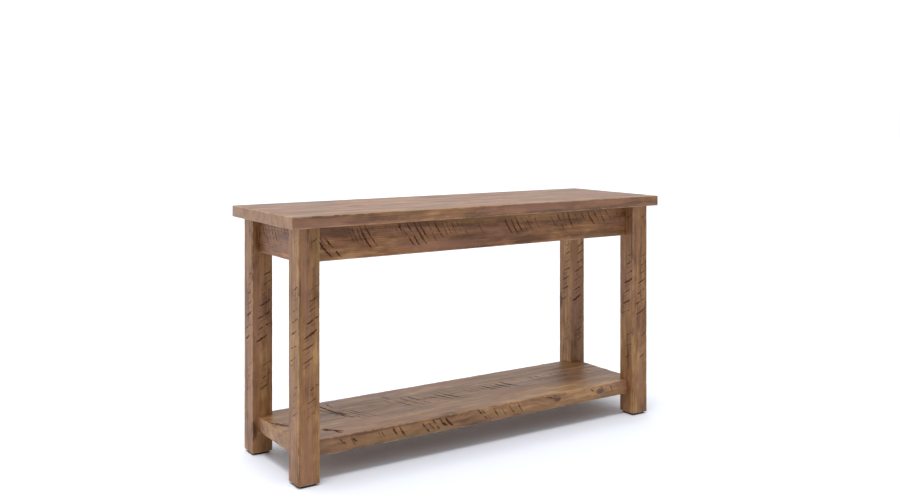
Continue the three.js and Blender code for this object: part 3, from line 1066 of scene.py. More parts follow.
@dataclass(frozen=True)
class Scoring:
    """The blade that scores one kind of face.

    Attributes:
        length: the usual mark's length, in metres.
        blade: the blade's radius.
        width: the mark's width with its soft shoulders.
        depth: the mark's usual depth.
        spread: how much the lengths vary, as a share.
        scatter: how loosely the marks keep their places.
        ragged: how far torn grain moves a mark's edges.
        broken: the share of marks that the blade left in two parts.
    """

    length: float
    blade: float
    width: float = 6.2 * MM
    depth: float = 2.6 * MM
    spread: float = 0.14
    scatter: float = 1.6 * MM
    ragged: float = 1.5 * MM
    broken: float = 0.3

    LEAN_SCATTER = 2.5
    BITES = (0.7, 1.25)
    LONGER_PARTS = (0.45, 0.62)
    BOTH_PARTS = 0.95

    def cutters(
        self, tree: MarkTree, block: Block, runs: dict[Face, tuple[MarkRun, ...]], seed: int
    ) -> bpy.types.Object:
        """One object that holds the cutters of every mark on a block.

        Args:
            tree: the node tree that makes the marks.
            block: the space whose faces are marked.
            runs: the runs of marks on each face.
            seed: fixes the scatter.

        Returns:
            The object, as a plain mesh.
        """
        draw = np.random.default_rng(seed)
        points, turns, reaches = [], [], []
        for face, run in ((face, run) for face, face_runs in runs.items() for run in face_runs):
            for index in range(run.count):
                across = (run.across + run.pitch * index) * MM + draw.normal(0, self.scatter)
                up = (run.up + run.climb * index) * MM + draw.normal(0, self.scatter)
                lean = math.radians(run.lean + draw.normal(0, self.LEAN_SCATTER))
                turn = tuple((face.turn @ Matrix.Rotation(lean, 3, "Z")).to_euler())
                bite = run.bite * draw.uniform(*self.BITES)
                for offset, share in self._parts(draw):
                    step = offset * run.length * MM
                    beside, above = step * math.cos(lean), step * math.sin(lean)
                    points.append(block.on_face(face, across + beside, up + above))
                    turns.append(turn)
                    stretch = share * run.length * MM / self.length
                    reaches.append((stretch, math.sqrt(stretch) * bite, bite))
        mesh = bpy.data.meshes.new("mark_places")
        mesh.from_pydata(points, [], [])
        for title, values in ((MarkTree.TURN_ATTRIBUTE, turns), (MarkTree.REACH_ATTRIBUTE, reaches)):
            layer = mesh.attributes.new(title, "FLOAT_VECTOR", "POINT")
            layer.data.foreach_set("vector", np.array(values, np.float32).ravel())
        settings = {
            MarkTree.LENGTH: self.length,
            MarkTree.WIDTH: self.width,
            MarkTree.DEPTH: self.depth,
            MarkTree.BLADE: self.blade,
            MarkTree.SPREAD: self.spread,
            MarkTree.RAGGED: self.ragged,
            MarkTree.SEED: seed,
            MarkTree.MATERIAL: tree.fresh_cut,
        }
        return new_object("marks", tree.run(mesh, settings))

    def _parts(self, draw: np.random.Generator) -> tuple[tuple[float, float], ...]:
        """Breaks some of the marks in two.

        Args:
            draw: the generator that decides.

        Returns:
            Where each part of a mark lies from its middle and how long it is, as shares of it.
        """
        if draw.random() > self.broken:
            return ((0.0, 1.0),)
        longer = draw.uniform(*self.LONGER_PARTS)
        shorter = self.BOTH_PARTS - longer
        return ((longer / 2 - 0.5, longer), (0.5 - shorter / 2, shorter))


def tag_cuts(mesh: bpy.types.Mesh, fresh_cut: bpy.types.Material) -> None:
    """Records which faces a saw mark cut, and keeps a crisp edge round them.

    Args:
        mesh: the mesh to tag.
        fresh_cut: the material that the cutters left behind.
    """
    marks = np.zeros(len(mesh.polygons), np.int32)
    mesh.polygons.foreach_get("material_index", marks)
    cut = marks == mesh.materials.find(fresh_cut.name)
    totals = np.zeros(len(mesh.polygons), np.int32)
    mesh.polygons.foreach_get("loop_total", totals)
    layer = mesh.attributes.new(CUT_ATTRIBUTE, "FLOAT", "CORNER")
    layer.data.foreach_set("value", np.repeat(cut, totals).astype(np.float32))
    mesh.polygons.foreach_set("material_index", np.zeros(len(mesh.polygons), np.int32))
    edges = np.zeros(len(mesh.loops), np.int32)
    mesh.loops.foreach_get("edge_index", edges)
    inside = np.bincount(edges, np.repeat(cut, totals), len(mesh.edges))
    sharp = np.zeros(len(mesh.edges), bool)
    mesh.edges.foreach_get("use_edge_sharp", sharp)
    mesh.edges.foreach_set("use_edge_sharp", sharp | (inside == 1))


@dataclass
class Timber:
    """One piece of sawn wood, made to fit its own part of the frame.

    Attributes:
        node: the part of the frame that gives its joinery.
        loft: the worn block that it is cut from.
        finish: what it is stained with.
        slot: the record's material slot for the finish.
        shade_block: the space that the finish measures depth from.
        seed: picks its place in the tree.
        cutters: its saw marks, if it has any.
        knots: its largest knots.
    """

    node: str
    loft: Loft
    finish: "Pine"
    slot: str
    shade_block: Block
    seed: int
    cutters: bpy.types.Object | None = None
    knots: tuple[Knot, ...] = ()

    CRISP = 32.0

    def build(self, tree: MarkTree) -> None:
        """Cuts, scores, dresses and settles the piece.

        Args:
            tree: the node tree whose materials tell old faces from fresh cuts.
        """
        rough = self.loft.build(f"rough_{self.node}")
        joinery = node_copy(self.node)
        for part in (rough, joinery):
            part.data.materials.append(tree.old_face)
        add_cut(rough, Cut.INSIDE, joinery, "TRANSFER")
        if self.cutters is not None:
            add_cut(rough, Cut.OUTSIDE, self.cutters, "TRANSFER")
        mesh = frozen_mesh(rough)
        discard(rough, joinery)
        piece = shaded(f"sawn_{self.node}", mesh, self.CRISP)
        tag_cuts(mesh, tree.fresh_cut)
        material = self.finish.material(self.shade_block, self.loft.axis, self.seed, self.knots)
        settle(piece, material, self.slot, self.node)


# ---- Finishes ----


def open_finish(name: str) -> tuple[bpy.types.Material, Sketch, Term]:
    """Starts a material that reads a piece's own coordinates.

    Args:
        name: what the material is called.

    Returns:
        The material, the sketch of its empty tree and the place on the table.
    """
    material = bpy.data.materials.new(name)
    material.use_nodes = True
    material.node_tree.nodes.clear()
    sketch = Sketch(material.node_tree)
    return material, sketch, sketch.make("ShaderNodeTexCoord", "Object")


def close_finish(sketch: Sketch, fed: dict[str, object]) -> None:
    """Ends a material's tree with one shader, fed with these terms and constants."""
    shader = sketch.make("ShaderNodeBsdfPrincipled", 0, fed)
    sketch.add("ShaderNodeOutputMaterial", {"Surface": shader})


@dataclass(frozen=True)
class Pine:
    """Softwood under a brown stain, dark in the saw marks and pale on the worn edges, with a painted
    highlight on the shoulders of each mark.

    Attributes:
        name: the finish's name.
        deep: the stain in the dark streaks.
        warm: the usual brown.
        golden: the bright streaks.
        rosy: the pinkish streaks.
        olive: the greenish brown streaks.
        groove: the stain at the bottom of a saw mark.
        worn_edge_and_highlight: the wood where an edge is worn, also used as the painted highlight on the
            shoulders of a saw mark.
        knot: the heart of a knot.
        end_grain: the stain on a board's ends.
        gloss: the surface's usual roughness.
        shine: the shader's specular level.
        ends: how evenly the stain takes on a board's ends.
        rub: how strongly worn edges show.
        contrast: how strongly the streaks show.
        tone: how far the stain leans to its golden end, about nought.
    """

    name: str
    deep: Colour = (0.115, 0.045, 0.014)
    warm: Colour = (0.262, 0.117, 0.044)
    golden: Colour = (0.43, 0.235, 0.088)
    rosy: Colour = (0.31, 0.142, 0.086)
    olive: Colour = (0.25, 0.138, 0.042)
    groove: Colour = (0.088, 0.031, 0.009)
    worn_edge_and_highlight: Colour = (0.46, 0.275, 0.135)
    knot: Colour = (0.085, 0.03, 0.01)
    end_grain: Colour = (0.36, 0.19, 0.088)
    gloss: float = 0.47
    shine: float = 0.3
    ends: float = 0.3
    rub: float = 0.6
    contrast: float = 1.0
    tone: float = 0.0

    def material(
        self, block: Block, axis: Axis, seed: int, knots: tuple[Knot, ...] = ()
    ) -> bpy.types.Material:
        """A material for one piece, which reads the piece's own coordinates."""
        return PineShading(self, block, axis, seed, knots).material


class PineShading:
    """The node material of one piece of stained softwood.

    Attributes:
        finish: the stain.
        block: the space that the piece's outer faces lie on.
        axis: the direction of its grain.
        seed: moves the piece to another part of the tree.
        material: the material.
        sketch: the sketch of its node tree.
        place: a point's place on the table.
        grain: its place in the tree, along, across and up the grain.
        fibre: the finest streaks, from 0 to 1.
        knot: how near a knot's heart the point is, from 0 to 1.
        rings: how far into a ring's dark late wood it is, from 0 to 1.

    The noises below say how many times they change in a metre, along, across and up. Each of the
    STREAKS has such a stretch, its detail, its roughness and its strength.
    """

    TREE_REACH = 9
    HEART_REACH = (0.05, 0.09)
    RINGS_PER_METRE = 190.0
    FIBRE = (9.0, 700.0, 700.0)
    PATCHES = (3.0, 40.0, 40.0)
    SWAY = (1.4, 5.0, 5.0)
    QUIVER = (9.0, 26.0, 26.0)
    WANDER = (1.1, 9.0, 9.0)
    KNOT_CELLS = (4.2, 10.0, 10.0)
    KNOT_RIM = (60.0, 60.0, 60.0)
    TINT = (2.2, 24.0, 24.0)
    TINT_SHIFT = (3.0, 5.0, 7.0)
    PORES = (420.0, 420.0, 420.0)
    RUBBED = (38.0, 38.0, 38.0)
    STREAKS = (
        ((1.8, 15.0, 15.0), 2.0, 0.5, 0.6),
        ((7.0, 24.0, 24.0), 3.0, 0.6, 1.0),
        ((3.5, 95.0, 95.0), 3.0, 0.6, 0.75),
        ((22.0, 52.0, 52.0), 3.0, 0.6, 0.6),
    )

    def __init__(self, finish: Pine, block: Block, axis: Axis, seed: int, knots: tuple[Knot, ...]) -> None:
        """Builds the material.

        Args:
            finish: the stain.
            block: the space that the piece's outer faces lie on.
            axis: the direction of its grain.
            seed: moves the piece to another part of the tree.
            knots: the piece's largest knots.
        """
        self.finish, self.block, self.axis, self.seed = finish, block, axis, seed
        self.material, self.sketch, self.place = open_finish(f"{finish.name}_{seed}")
        self.grain = self._grain()
        self.fibre = self.sketch.noise(self.grain, self.FIBRE, 3.0, 0.6)
        self.knot = self._small_knots()
        for knot in knots:
            self.knot = self.knot.at_least(self._large_knot(knot))
        self.rings = self._rings()
        self._surface()

    def _surface(self) -> None:
        """Dresses the piece: the stain, its paler ends and edges, the dark saw marks and a painted highlight
        on their shoulders.
        """
        sketch, finish = self.sketch, self.finish
        depth, arris = self._edge_distances()
        cut = sketch.make("ShaderNodeAttribute", "Fac", attribute_name=CUT_ATTRIBUTE)
        groove = cut * sketch.remap(depth, -0.1 * MM, 0.65 * MM)
        # Painted highlight: the shallow shoulders of each saw mark are lightened towards the worn-edge
        # colour.
        painted_highlight_lip = cut * sketch.remap(depth, 0.0, 0.22 * MM, 0.5, 0.0)
        colour = sketch.blend(self._end(), self._stain(), finish.end_grain)
        # The mark shoulders get the painted highlight; the edges get the same pale colour as real wear.
        colour = sketch.blend(painted_highlight_lip, colour, finish.worn_edge_and_highlight)
        colour = sketch.blend(self._rub(arris), colour, finish.worn_edge_and_highlight)
        patches = sketch.noise(self.grain, self.PATCHES, 3.0, 0.6)
        rough = self.fibre * 0.14 + (finish.gloss - 0.27) + patches * 0.4
        surface = {
            "Base Color": sketch.blend(groove * 0.92, colour, finish.groove),
            "Roughness": rough.at_least(groove),
            "Specular IOR Level": finish.shine,
            "Normal": sketch.bump(self.fibre * 0.6 - self.rings * 0.35, 0.3, 0.4 * MM),
        }
        close_finish(sketch, surface)

    def _grain(self) -> Term:
        """The place in the tree that the piece was sawn from.

        Returns:
            The place, swaying gently from side to side as the grain does.
        """
        sketch = self.sketch
        parts = sketch.split(self.place)
        straight = sketch.join(*(parts[index] for index in self.axis.order))
        spot = sketch.make("ShaderNodeMapping", 0, {"Vector": straight, "Location": self._origin().tolist()})
        sway = sketch.noise(spot, self.SWAY, 2.0)
        quiver = sketch.noise(spot, self.QUIVER, 2.0)
        drift = (sway - 0.5) * 0.024 + quiver * 0.006
        return sketch.vector("ADD", spot, sketch.join(0.0, drift, drift))

    def _origin(self) -> np.ndarray:
        """How far the piece is moved to reach its own part of the tree."""
        return np.random.default_rng(self.seed).uniform(-self.TREE_REACH, self.TREE_REACH, 3)

    def _small_knots(self) -> Term:
        """The knots scattered through the tree.

        Returns:
            How near a knot's middle the point is: 0 far off and 1 in the middle.
        """
        sketch = self.sketch
        cell = {"Scale": 1.0, "Vector": sketch.vector("MULTIPLY", self.grain, self.KNOT_CELLS)}
        spots = sketch.add("ShaderNodeTexVoronoi", cell)
        chance, _, _ = sketch.split(Term(sketch, spots.outputs["Color"]))
        near = sketch.remap(Term(sketch, spots.outputs["Distance"]), 0.36, 0.0)
        return sketch.remap(chance, 0.55, 0.6) * near

    def _large_knot(self, knot: Knot) -> Term:
        """One knot, longer along the grain than across it.

        Args:
            knot: the knot.

        Returns:
            How near its heart the point is, from 0 to 1.
        """
        sketch = self.sketch
        stretch = tuple((0.45 if index == self.axis.value else 1.0) / knot.radius for index in range(3))
        away = sketch.vector("MULTIPLY", sketch.vector("SUBTRACT", self.place, knot.place), stretch)
        rim = sketch.noise(self.place, self.KNOT_RIM, 2.0)
        return sketch.remap(sketch.vector("LENGTH", away) + rim * 0.3, 1.1, 0.1)

    def _rings(self) -> Term:
        """The late wood of each year's ring, bending round the knots.

        Returns:
            How far into late wood the point is, from 0 to 1.
        """
        sketch = self.sketch
        draw = np.random.default_rng(self.seed + 50)
        heart = draw.uniform(*self.HEART_REACH, 2) * draw.choice((-1, 1), 2)
        origin = self._origin()
        along, across, up = sketch.split(self.grain)
        across = across - float(origin[1] + heart[0]) + along * 0.012
        up = up - float(origin[2] + heart[1])
        reach = sketch.vector("LENGTH", sketch.join(0.0, across, up))
        wander = sketch.noise(self.grain, self.WANDER, 2.0)
        season = sketch.math("FRACT", reach * self.RINGS_PER_METRE + wander * 5.0 + self.knot * 3.2)
        return sketch.remap(season, 0.2, 0.84) * sketch.remap(season, 0.88, 1.0, 1.0, 0.0)

    def _stain(self) -> Term:
        """The stain before any wear.

        Returns:
            A colour between dark and golden that drifts towards pink or olive.
        """
        sketch, finish = self.sketch, self.finish
        layers = [
            (sketch.noise(self.grain, stretch, detail, rough), strength)
            for stretch, detail, rough, strength in self.STREAKS
        ]
        tone = 0.5 + finish.tone + float(np.random.default_rng(self.seed + 70).uniform(-0.05, 0.05))
        for layer, strength in (*layers, (self.fibre, 0.3)):
            tone = (layer - 0.5) * (strength * finish.contrast) + tone
        tone = tone - self.rings * (0.13 * finish.contrast)
        stops = ((0.12, finish.deep), (0.46, finish.warm), (0.56, finish.warm), (0.86, finish.golden))
        tint = sketch.noise(sketch.vector("ADD", self.grain, self.TINT_SHIFT), self.TINT, 2.0)
        colour = sketch.blend(sketch.remap(tint, 0.5, 0.66, 0.0, 0.55), sketch.ramp(tone, stops), finish.rosy)
        colour = sketch.blend(sketch.remap(tint, 0.46, 0.32, 0.0, 0.45), colour, finish.olive)
        return sketch.blend(sketch.remap(self.knot, 0.5, 0.85, 0.0, 0.9), colour, finish.knot)

    def _end(self) -> Term:
        """The even stain of a board's end, with its coarse pores.

        Returns:
            How strongly the point takes it, from 0 to 1.
        """
        sketch, axis = self.sketch, self.axis.value
        half = self.block.half[axis]
        reach = abs(sketch.split(self.place)[axis] - self.block.centre[axis])
        at_end = sketch.remap(reach, half - 1.5 * MM, half - 0.4 * MM, 0.0, self.finish.ends)
        pores = sketch.noise(self.place, self.PORES, 2.0)
        return at_end * sketch.remap(pores, 0.3, 0.6, 0.55, 1.0)

    def _edge_distances(self) -> tuple[Term, Term]:
        """How far the point lies inside the block.

        Returns:
            The depth under the nearest face, and the distance from the nearest edge.
        """
        sketch, block = self.sketch, self.block
        from_middle = sketch.vector("ABSOLUTE", sketch.vector("SUBTRACT", self.place, tuple(block.centre)))
        x, y, z = sketch.split(sketch.vector("SUBTRACT", tuple(block.half), from_middle))
        least, most = x.at_most(y), x.at_least(y)
        return least.at_most(z), least.at_least(most.at_most(z))

    def _rub(self, arris: Term) -> Term:
        """The patchy wear along the edges.

        Args:
            arris: the distance from the nearest edge.

        Returns:
            How far the stain has rubbed off, from 0 to 1.
        """
        patchy = self.sketch.noise(self.place, self.RUBBED, 3.0, 0.6)
        reach = self.sketch.remap(patchy, 0.35, 0.68, 1.2 * MM, 5.0 * MM)
        return self.sketch.remap(arris / reach, 0.3, 1.0, self.finish.rub, 0.0)


@dataclass(frozen=True)
class ZincSteel:
    """Zinc-plated steel, faintly mottled."""

    name: str = "zinc_plate"
    tone: Colour = (0.60, 0.61, 0.60)
    dull: Colour = (0.40, 0.40, 0.37)
    gloss: float = 0.34

    def material(self) -> bpy.types.Material:
        """Makes the finish.

        Returns:
            A material that reads the piece's own coordinates.
        """
        material, sketch, place = open_finish(self.name)
        mottle = sketch.noise(place, (420.0, 420.0, 420.0), 3.0, 0.6)
        scuff = sketch.noise(place, (1500.0, 1500.0, 300.0), 2.0)
        surface = {
            "Base Color": sketch.blend(sketch.remap(mottle, 0.4, 0.65), self.tone, self.dull),
            "Roughness": sketch.remap(mottle, 0.3, 0.7, self.gloss - 0.08, self.gloss + 0.14),
            "Metallic": 1.0,
            "Normal": sketch.bump(scuff, 0.15, 0.1 * MM),
        }
        close_finish(sketch, surface)
        return material


@dataclass(frozen=True)
class PadPlastic:
    """Dark moulded plastic with a fine spark-eroded texture and floor dust."""

    name: str = "dark_plastic"
    tone: Colour = (0.018, 0.017, 0.016)
    dusty: Colour = (0.06, 0.056, 0.05)

    def material(self) -> bpy.types.Material:
        """Makes the finish.

        Returns:
            A material that reads the piece's own coordinates.
        """
        material, sketch, place = open_finish(self.name)
        speckle = sketch.noise(place, (1800.0, 1800.0, 1800.0), 2.0)
        dust = sketch.noise(place, (120.0, 120.0, 120.0), 4.0, 0.65)
        surface = {
            "Base Color": sketch.blend(sketch.remap(dust, 0.45, 0.75), self.tone, self.dusty),
            "Roughness": sketch.remap(speckle, 0.3, 0.7, 0.55, 0.75),
            "Normal": sketch.bump(speckle, 0.3, 0.15 * MM),
        }
        close_finish(sketch, surface)
        return material


# ---- Sub-assemblies ----


@dataclass
class SawnWood:
    """What the table's sawn sub-assemblies have in common.

    Attributes:
        tree: the node tree that makes saw marks.
        finish: the stain.
        ease: the least rounding of an edge.
        chew: how much the rounding wanders.
        ripple: how far the faces dip.
        swing: the length of the slowest swing along an edge.
    """

    tree: MarkTree
    finish: Pine
    ease: float
    chew: float
    ripple: float
    swing: float

    WEAR_SEED = 0

    def _wear(self, index: int) -> Wear:
        """How one of the pieces has worn."""
        return Wear(self.ease, self.chew, self.ripple, self.swing, self.WEAR_SEED + index)


@dataclass
class Legs(SawnWood):
    """The four square legs, scored alike on all their faces."""

    finish: Pine = Pine(
        "leg_pine", warm=(0.265, 0.125, 0.046), rosy=(0.31, 0.152, 0.088), contrast=1.3, tone=0.03
    )
    scoring: Scoring = Scoring(length=38 * MM, blade=110 * MM)
    ease: float = 2.3 * MM
    chew: float = 1.3 * MM
    ripple: float = 0.25 * MM
    swing: float = 240 * MM

    WEAR_SEED = 20
    MARK_SEED = 40
    GRAIN_SEED = 60
    SCORED = (Face.LEFT, Face.FRONT, Face.RIGHT, Face.BACK)

    @staticmethod
    def runs(height: float) -> tuple[MarkRun, ...]:
        """The marks on one face of a leg.

        Args:
            height: the leg's height, in millimetres.

        Returns:
            The runs of marks.
        """
        return (
            MarkRun(50, height - 37, 30, 30, bite=0.8),
            MarkRun(50, height - 170, 34, 28, 3, -2.0, -31),
            MarkRun(42, height - 262, 46, 28, 4, -3.8, -36.5, 1.15),
            MarkRun(48, height - 448, 32, 31, 3, -4.0, -38, 0.95),
            MarkRun(42, height - 186, 24, 30, 3, -2.0, -31, 0.5),
            MarkRun(35, height - 279, 32, 28, 4, -3.8, -36.5, 0.55),
            MarkRun(41, height - 467, 24, 31, 2, -4.0, -38, 0.5),
        )

    def build(self) -> None:
        """Makes and dresses the legs."""
        for index, corner in enumerate(CORNERS):
            node = f"leg_{corner}"
            block = Block.of(node)
            faces = dict.fromkeys(self.SCORED, self.runs(2 * block.half.z / MM))
            cutters = self.scoring.cutters(self.tree, block, faces, self.MARK_SEED + index)
            loft = Loft(block, Axis.Z, self._wear(index), worn_ends=True)
            seed = self.GRAIN_SEED + index
            Timber(node, loft, self.finish, "frame_wood", block, seed, cutters).build(self.tree)
            discard(cutters)


@dataclass
class Aprons(SawnWood):
    """The four rails under the top, with tenons at their ends.

    Attributes:
        tenon: how far a rail reaches into a leg.
        stain_reach: how far past the rail its stain runs unworn, at its ends and under the top.
    """

    finish: Pine = Pine("apron_pine", warm=(0.25, 0.108, 0.041), contrast=1.35, tone=-0.08)
    scoring: Scoring = Scoring(length=52 * MM, blade=140 * MM)
    tenon: float = 20 * MM
    stain_reach: float = 30 * MM
    ease: float = 2.7 * MM
    chew: float = 1.2 * MM
    ripple: float = 0.2 * MM
    swing: float = 260 * MM

    WEAR_SEED = 30
    MARK_SEED = 80
    GRAIN_SEED = 90
    LONG_RUNS = (
        MarkRun(32, 34, 84, -48, 2, 22, 4, 1.3),
        MarkRun(118, 70, 56, -64, 3, 14, -2, 0.95),
        MarkRun(164, 58, 96, -58, 2, 19, 6, 1.15),
        MarkRun(272, 78, 44, -62, 3, 10, 0, 0.9),
        MarkRun(306, 62, 96, -58, 3, 22, 0, 1.25),
        MarkRun(368, 66, 80, -58, 3, 25, 2, 1.15),
        MarkRun(438, 70, 52, -60, 5, 19, 1, 0.95),
        MarkRun(574, 66, 58, -60),
        MarkRun(690, 62, 64, -60, 4, 20, 1),
        MarkRun(772, 62, 50, -56, 2, 30, 4, 0.9),
        MarkRun(872, 68, 44, -54),
        MarkRun(902, 66, 64, -64, 3, 20, 3, 1.1),
        MarkRun(978, 72, 44, -50, 2, 26, 0, 0.9),
        MarkRun(1036, 66, 56, -56, 4, 27, 3, 1.1),
        MarkRun(1164, 70, 44, -64, 1, 0, 0, 0.9),
        MarkRun(98, 84, 16, -58, 9, 23, bite=0.7),
        MarkRun(452, 84, 14, -50, 6, 21, bite=0.8),
        MarkRun(700, 86, 14, -54, 5, 24, bite=0.7),
        MarkRun(890, 84, 16, -56, 10, 27, bite=0.75),
        MarkRun(24, 58, 40, -48, bite=0.7),
    )
    SHORT_RUNS = (
        MarkRun(34, 68, 50, -62, 9, 23.5, bite=0.85),
        MarkRun(70, 40, 34, -54, 4, 48, bite=0.6),
    )

    def build(self) -> None:
        """Makes and dresses the rails."""
        layout = (
            ("front", Axis.X, Face.FRONT, self.LONG_RUNS),
            ("back", Axis.X, Face.BACK, self.LONG_RUNS),
            ("left", Axis.Y, Face.LEFT, self.SHORT_RUNS),
            ("right", Axis.Y, Face.RIGHT, self.SHORT_RUNS),
        )
        for index, (side, axis, face, runs) in enumerate(layout):
            node = f"apron_{side}"
            block = Block.of(node)
            shown = block.shortened(axis, self.tenon)
            cutters = self.scoring.cutters(self.tree, shown, {face: runs}, self.MARK_SEED + index)
            shade = block.lengthened(axis, self.stain_reach).raised(self.stain_reach)
            loft = Loft(block, axis, self._wear(index))
            seed = self.GRAIN_SEED + index
            Timber(node, loft, self.finish, "frame_wood", shade, seed, cutters).build(self.tree)
            discard(cutters)


@dataclass
class Shelf(SawnWood):
    """The low shelf of three glued boards, notched round the legs.

    Attributes:
        broad: the blade that scores its upper face.
        narrow: the blade that scores its edges.
        margin: width beside each edge that holds its rounding.
    """

    finish: Pine = Pine(
        "shelf_pine", warm=(0.265, 0.124, 0.046), shine=0.5, ends=0.1, contrast=1.25, tone=0.04, rub=0.75
    )
    broad: Scoring = Scoring(
        length=110 * MM,
        blade=360 * MM,
        width=9.5 * MM,
        depth=3.2 * MM,
        spread=0.1,
        ragged=1.1 * MM,
        broken=0.2,
    )
    narrow: Scoring = Scoring(length=36 * MM, blade=90 * MM, width=6.5 * MM, depth=2.8 * MM)
    ease: float = 2.8 * MM
    chew: float = 4.2 * MM
    ripple: float = 0.6 * MM
    margin: float = 10 * MM
    swing: float = 200 * MM

    WEAR_SEED = 46
    MARK_SEED = 120
    GRAIN_SEED = 130
    TOP_RUNS = (
        MarkRun(20, 190, 90, -66, 3, 15, -12, 1.1),
        MarkRun(205, 205, 170, -72, 2, 16, 0, 1.1),
        MarkRun(245, 170, 130, -70, 3, 22, -6, 1.0),
        MarkRun(203, 290, 60, -84, 2, 30, bite=1.2),
        MarkRun(430, 272, 60, -84),
        MarkRun(412, 215, 60, -80, bite=0.8),
        MarkRun(444, 190, 116, -72, 4, 33, 0, 1.1),
        MarkRun(566, 184, 100, -70, 3, 28, 0, 1.15),
        MarkRun(640, 205, 40, -72, 2, 30, bite=0.8),
        MarkRun(702, 190, 64, -74, 3, 27, 0, 1.0),
        MarkRun(782, 186, 84, -70, 4, 27, 0, 1.15),
        MarkRun(884, 206, 56, -70, 2, 34),
        MarkRun(988, 194, 62, -74, 5, 27, 0, 1.0),
        MarkRun(124, 54, 74, -53, 2, 8, 3, 2.0),
        MarkRun(1160, 160, 70, -72, 3, 30),
    )
    FRONT_RUNS = (
        MarkRun(90, 28, 40, -40, 2, 34, bite=1.2),
        MarkRun(120, 24, 40, -60, bite=1.3),
        MarkRun(207, 28, 34, -52, 2, 12),
        MarkRun(262, 25, 42, -56, 2, 24, bite=1.3),
        MarkRun(366, 25, 44, -50, 2, 40, bite=1.4),
        MarkRun(392, 24, 40, -46, bite=1.1),
        MarkRun(434, 25, 44, -44, 2, 16, bite=1.5),
        MarkRun(580, 27, 54, -46, 2, 16, bite=1.1),
        MarkRun(632, 25, 40, -56, 4, 31),
        MarkRun(862, 36, 40, -20, 2, 18, bite=1.2),
        MarkRun(1040, 34, 36, -30, 2, 44, bite=1.1),
        MarkRun(1120, 30, 30, -60, 2, 30, bite=0.8),
    )
    FRONT_KNOTS = (Knot((0.285, -0.1715, 0.098), 0.02), Knot((0.475, -0.1715, 0.098), 0.026))
    END_RUNS = (MarkRun(36, 26, 26, -55, 6, 38, bite=0.7),)

    def _cutters(self, whole: Block) -> bpy.types.Object:
        """The saw marks on the upper face and round the edges, between the legs.

        Args:
            whole: the box round all the boards.

        Returns:
            The cutters as one object.
        """
        leg = Block.of("leg_front_left")
        along_front = whole.shortened(Axis.X, leg.high.x - whole.low.x)
        along_end = whole.shortened(Axis.Y, leg.high.y - whole.low.y)
        layout = (
            (self.broad, whole, {Face.TOP: self.TOP_RUNS}),
            (self.narrow, along_end, dict.fromkeys((Face.LEFT, Face.RIGHT), self.END_RUNS)),
            (self.narrow, along_front, dict.fromkeys((Face.FRONT, Face.BACK), self.FRONT_RUNS)),
        )
        marks = [
            scoring.cutters(self.tree, block, runs, self.MARK_SEED + index)
            for index, (scoring, block, runs) in enumerate(layout)
        ]
        return joined("shelf_marks", *marks)

    def build(self) -> None:
        """Makes and dresses the boards."""
        whole = Block.of(*(f"shelf_board_{name}" for name, _ in BOARDS))
        cutters = self._cutters(whole)
        for index, (name, glued) in enumerate(BOARDS):
            node = f"shelf_board_{name}"
            wear = self._wear(index)
            loft = Loft(Block.of(node), Axis.X, wear, glued, worn_ends=True, margin=self.margin)
            knots = self.FRONT_KNOTS if name == "front" else ()
            seed = self.GRAIN_SEED + index
            Timber(node, loft, self.finish, "shelf_wood", whole, seed, cutters, knots).build(self.tree)
        discard(cutters)


@dataclass
class Top(SawnWood):
    """The smooth top of three glued boards."""

    finish: Pine = Pine("top_pine", shine=0.5, ends=0.45, contrast=1.25, tone=-0.15)
    ease: float = 1.5 * MM
    chew: float = 1.2 * MM
    ripple: float = 0.18 * MM
    swing: float = 220 * MM

    WEAR_SEED = 56
    GRAIN_SEED = 150

    def build(self) -> None:
        """Makes and dresses the boards."""
        whole = Block.of(*(f"top_board_{name}" for name, _ in BOARDS))
        for index, (name, glued) in enumerate(BOARDS):
            node = f"top_board_{name}"
            loft = Loft(Block.of(node), Axis.X, self._wear(index), glued, worn_ends=True)
            seed = self.GRAIN_SEED + index
            Timber(node, loft, self.finish, "top_wood", whole, seed).build(self.tree)


@dataclass
class Turning:
    """A ring or disc turned about an axis, as a closed mesh.

    Attributes:
        outline: radius and height of each point along its outline, anticlockwise, in metres.
        closed: whether the outline closes on itself rather than ending on the axis.
        spokes: how many straight steps make a full turn.
    """

    outline: tuple[tuple[float, float], ...]
    closed: bool
    spokes: int = 48

    def build(self, name: str, place: Matrix) -> bpy.types.Object:
        """Makes the turned piece.

        Args:
            name: what it is called.
            place: carries its own axis, +Z, to its place in the frame.

        Returns:
            An object with a closed mesh.
        """
        work = bmesh.new()
        rings = []
        for step in range(self.spokes):
            angle = 2 * math.pi * step / self.spokes
            spoke = (math.cos(angle), math.sin(angle))
            rings.append([
                work.verts.new(place @ Vector((radius * spoke[0], radius * spoke[1], height)))
                for radius, height in self.outline
            ])
        last = len(self.outline) if self.closed else len(self.outline) - 1
        for step, ring in enumerate(rings):
            beside = rings[(step + 1) % self.spokes]
            for index in range(last):
                following = (index + 1) % len(self.outline)
                work.faces.new((ring[index], beside[index], beside[following], ring[following]))
        bmesh.ops.remove_doubles(work, verts=work.verts, dist=WELD)
        bmesh.ops.recalc_face_normals(work, faces=work.faces)
        mesh = bpy.data.meshes.new(name)
        work.to_mesh(mesh)
        work.free()
        return new_object(name, mesh)


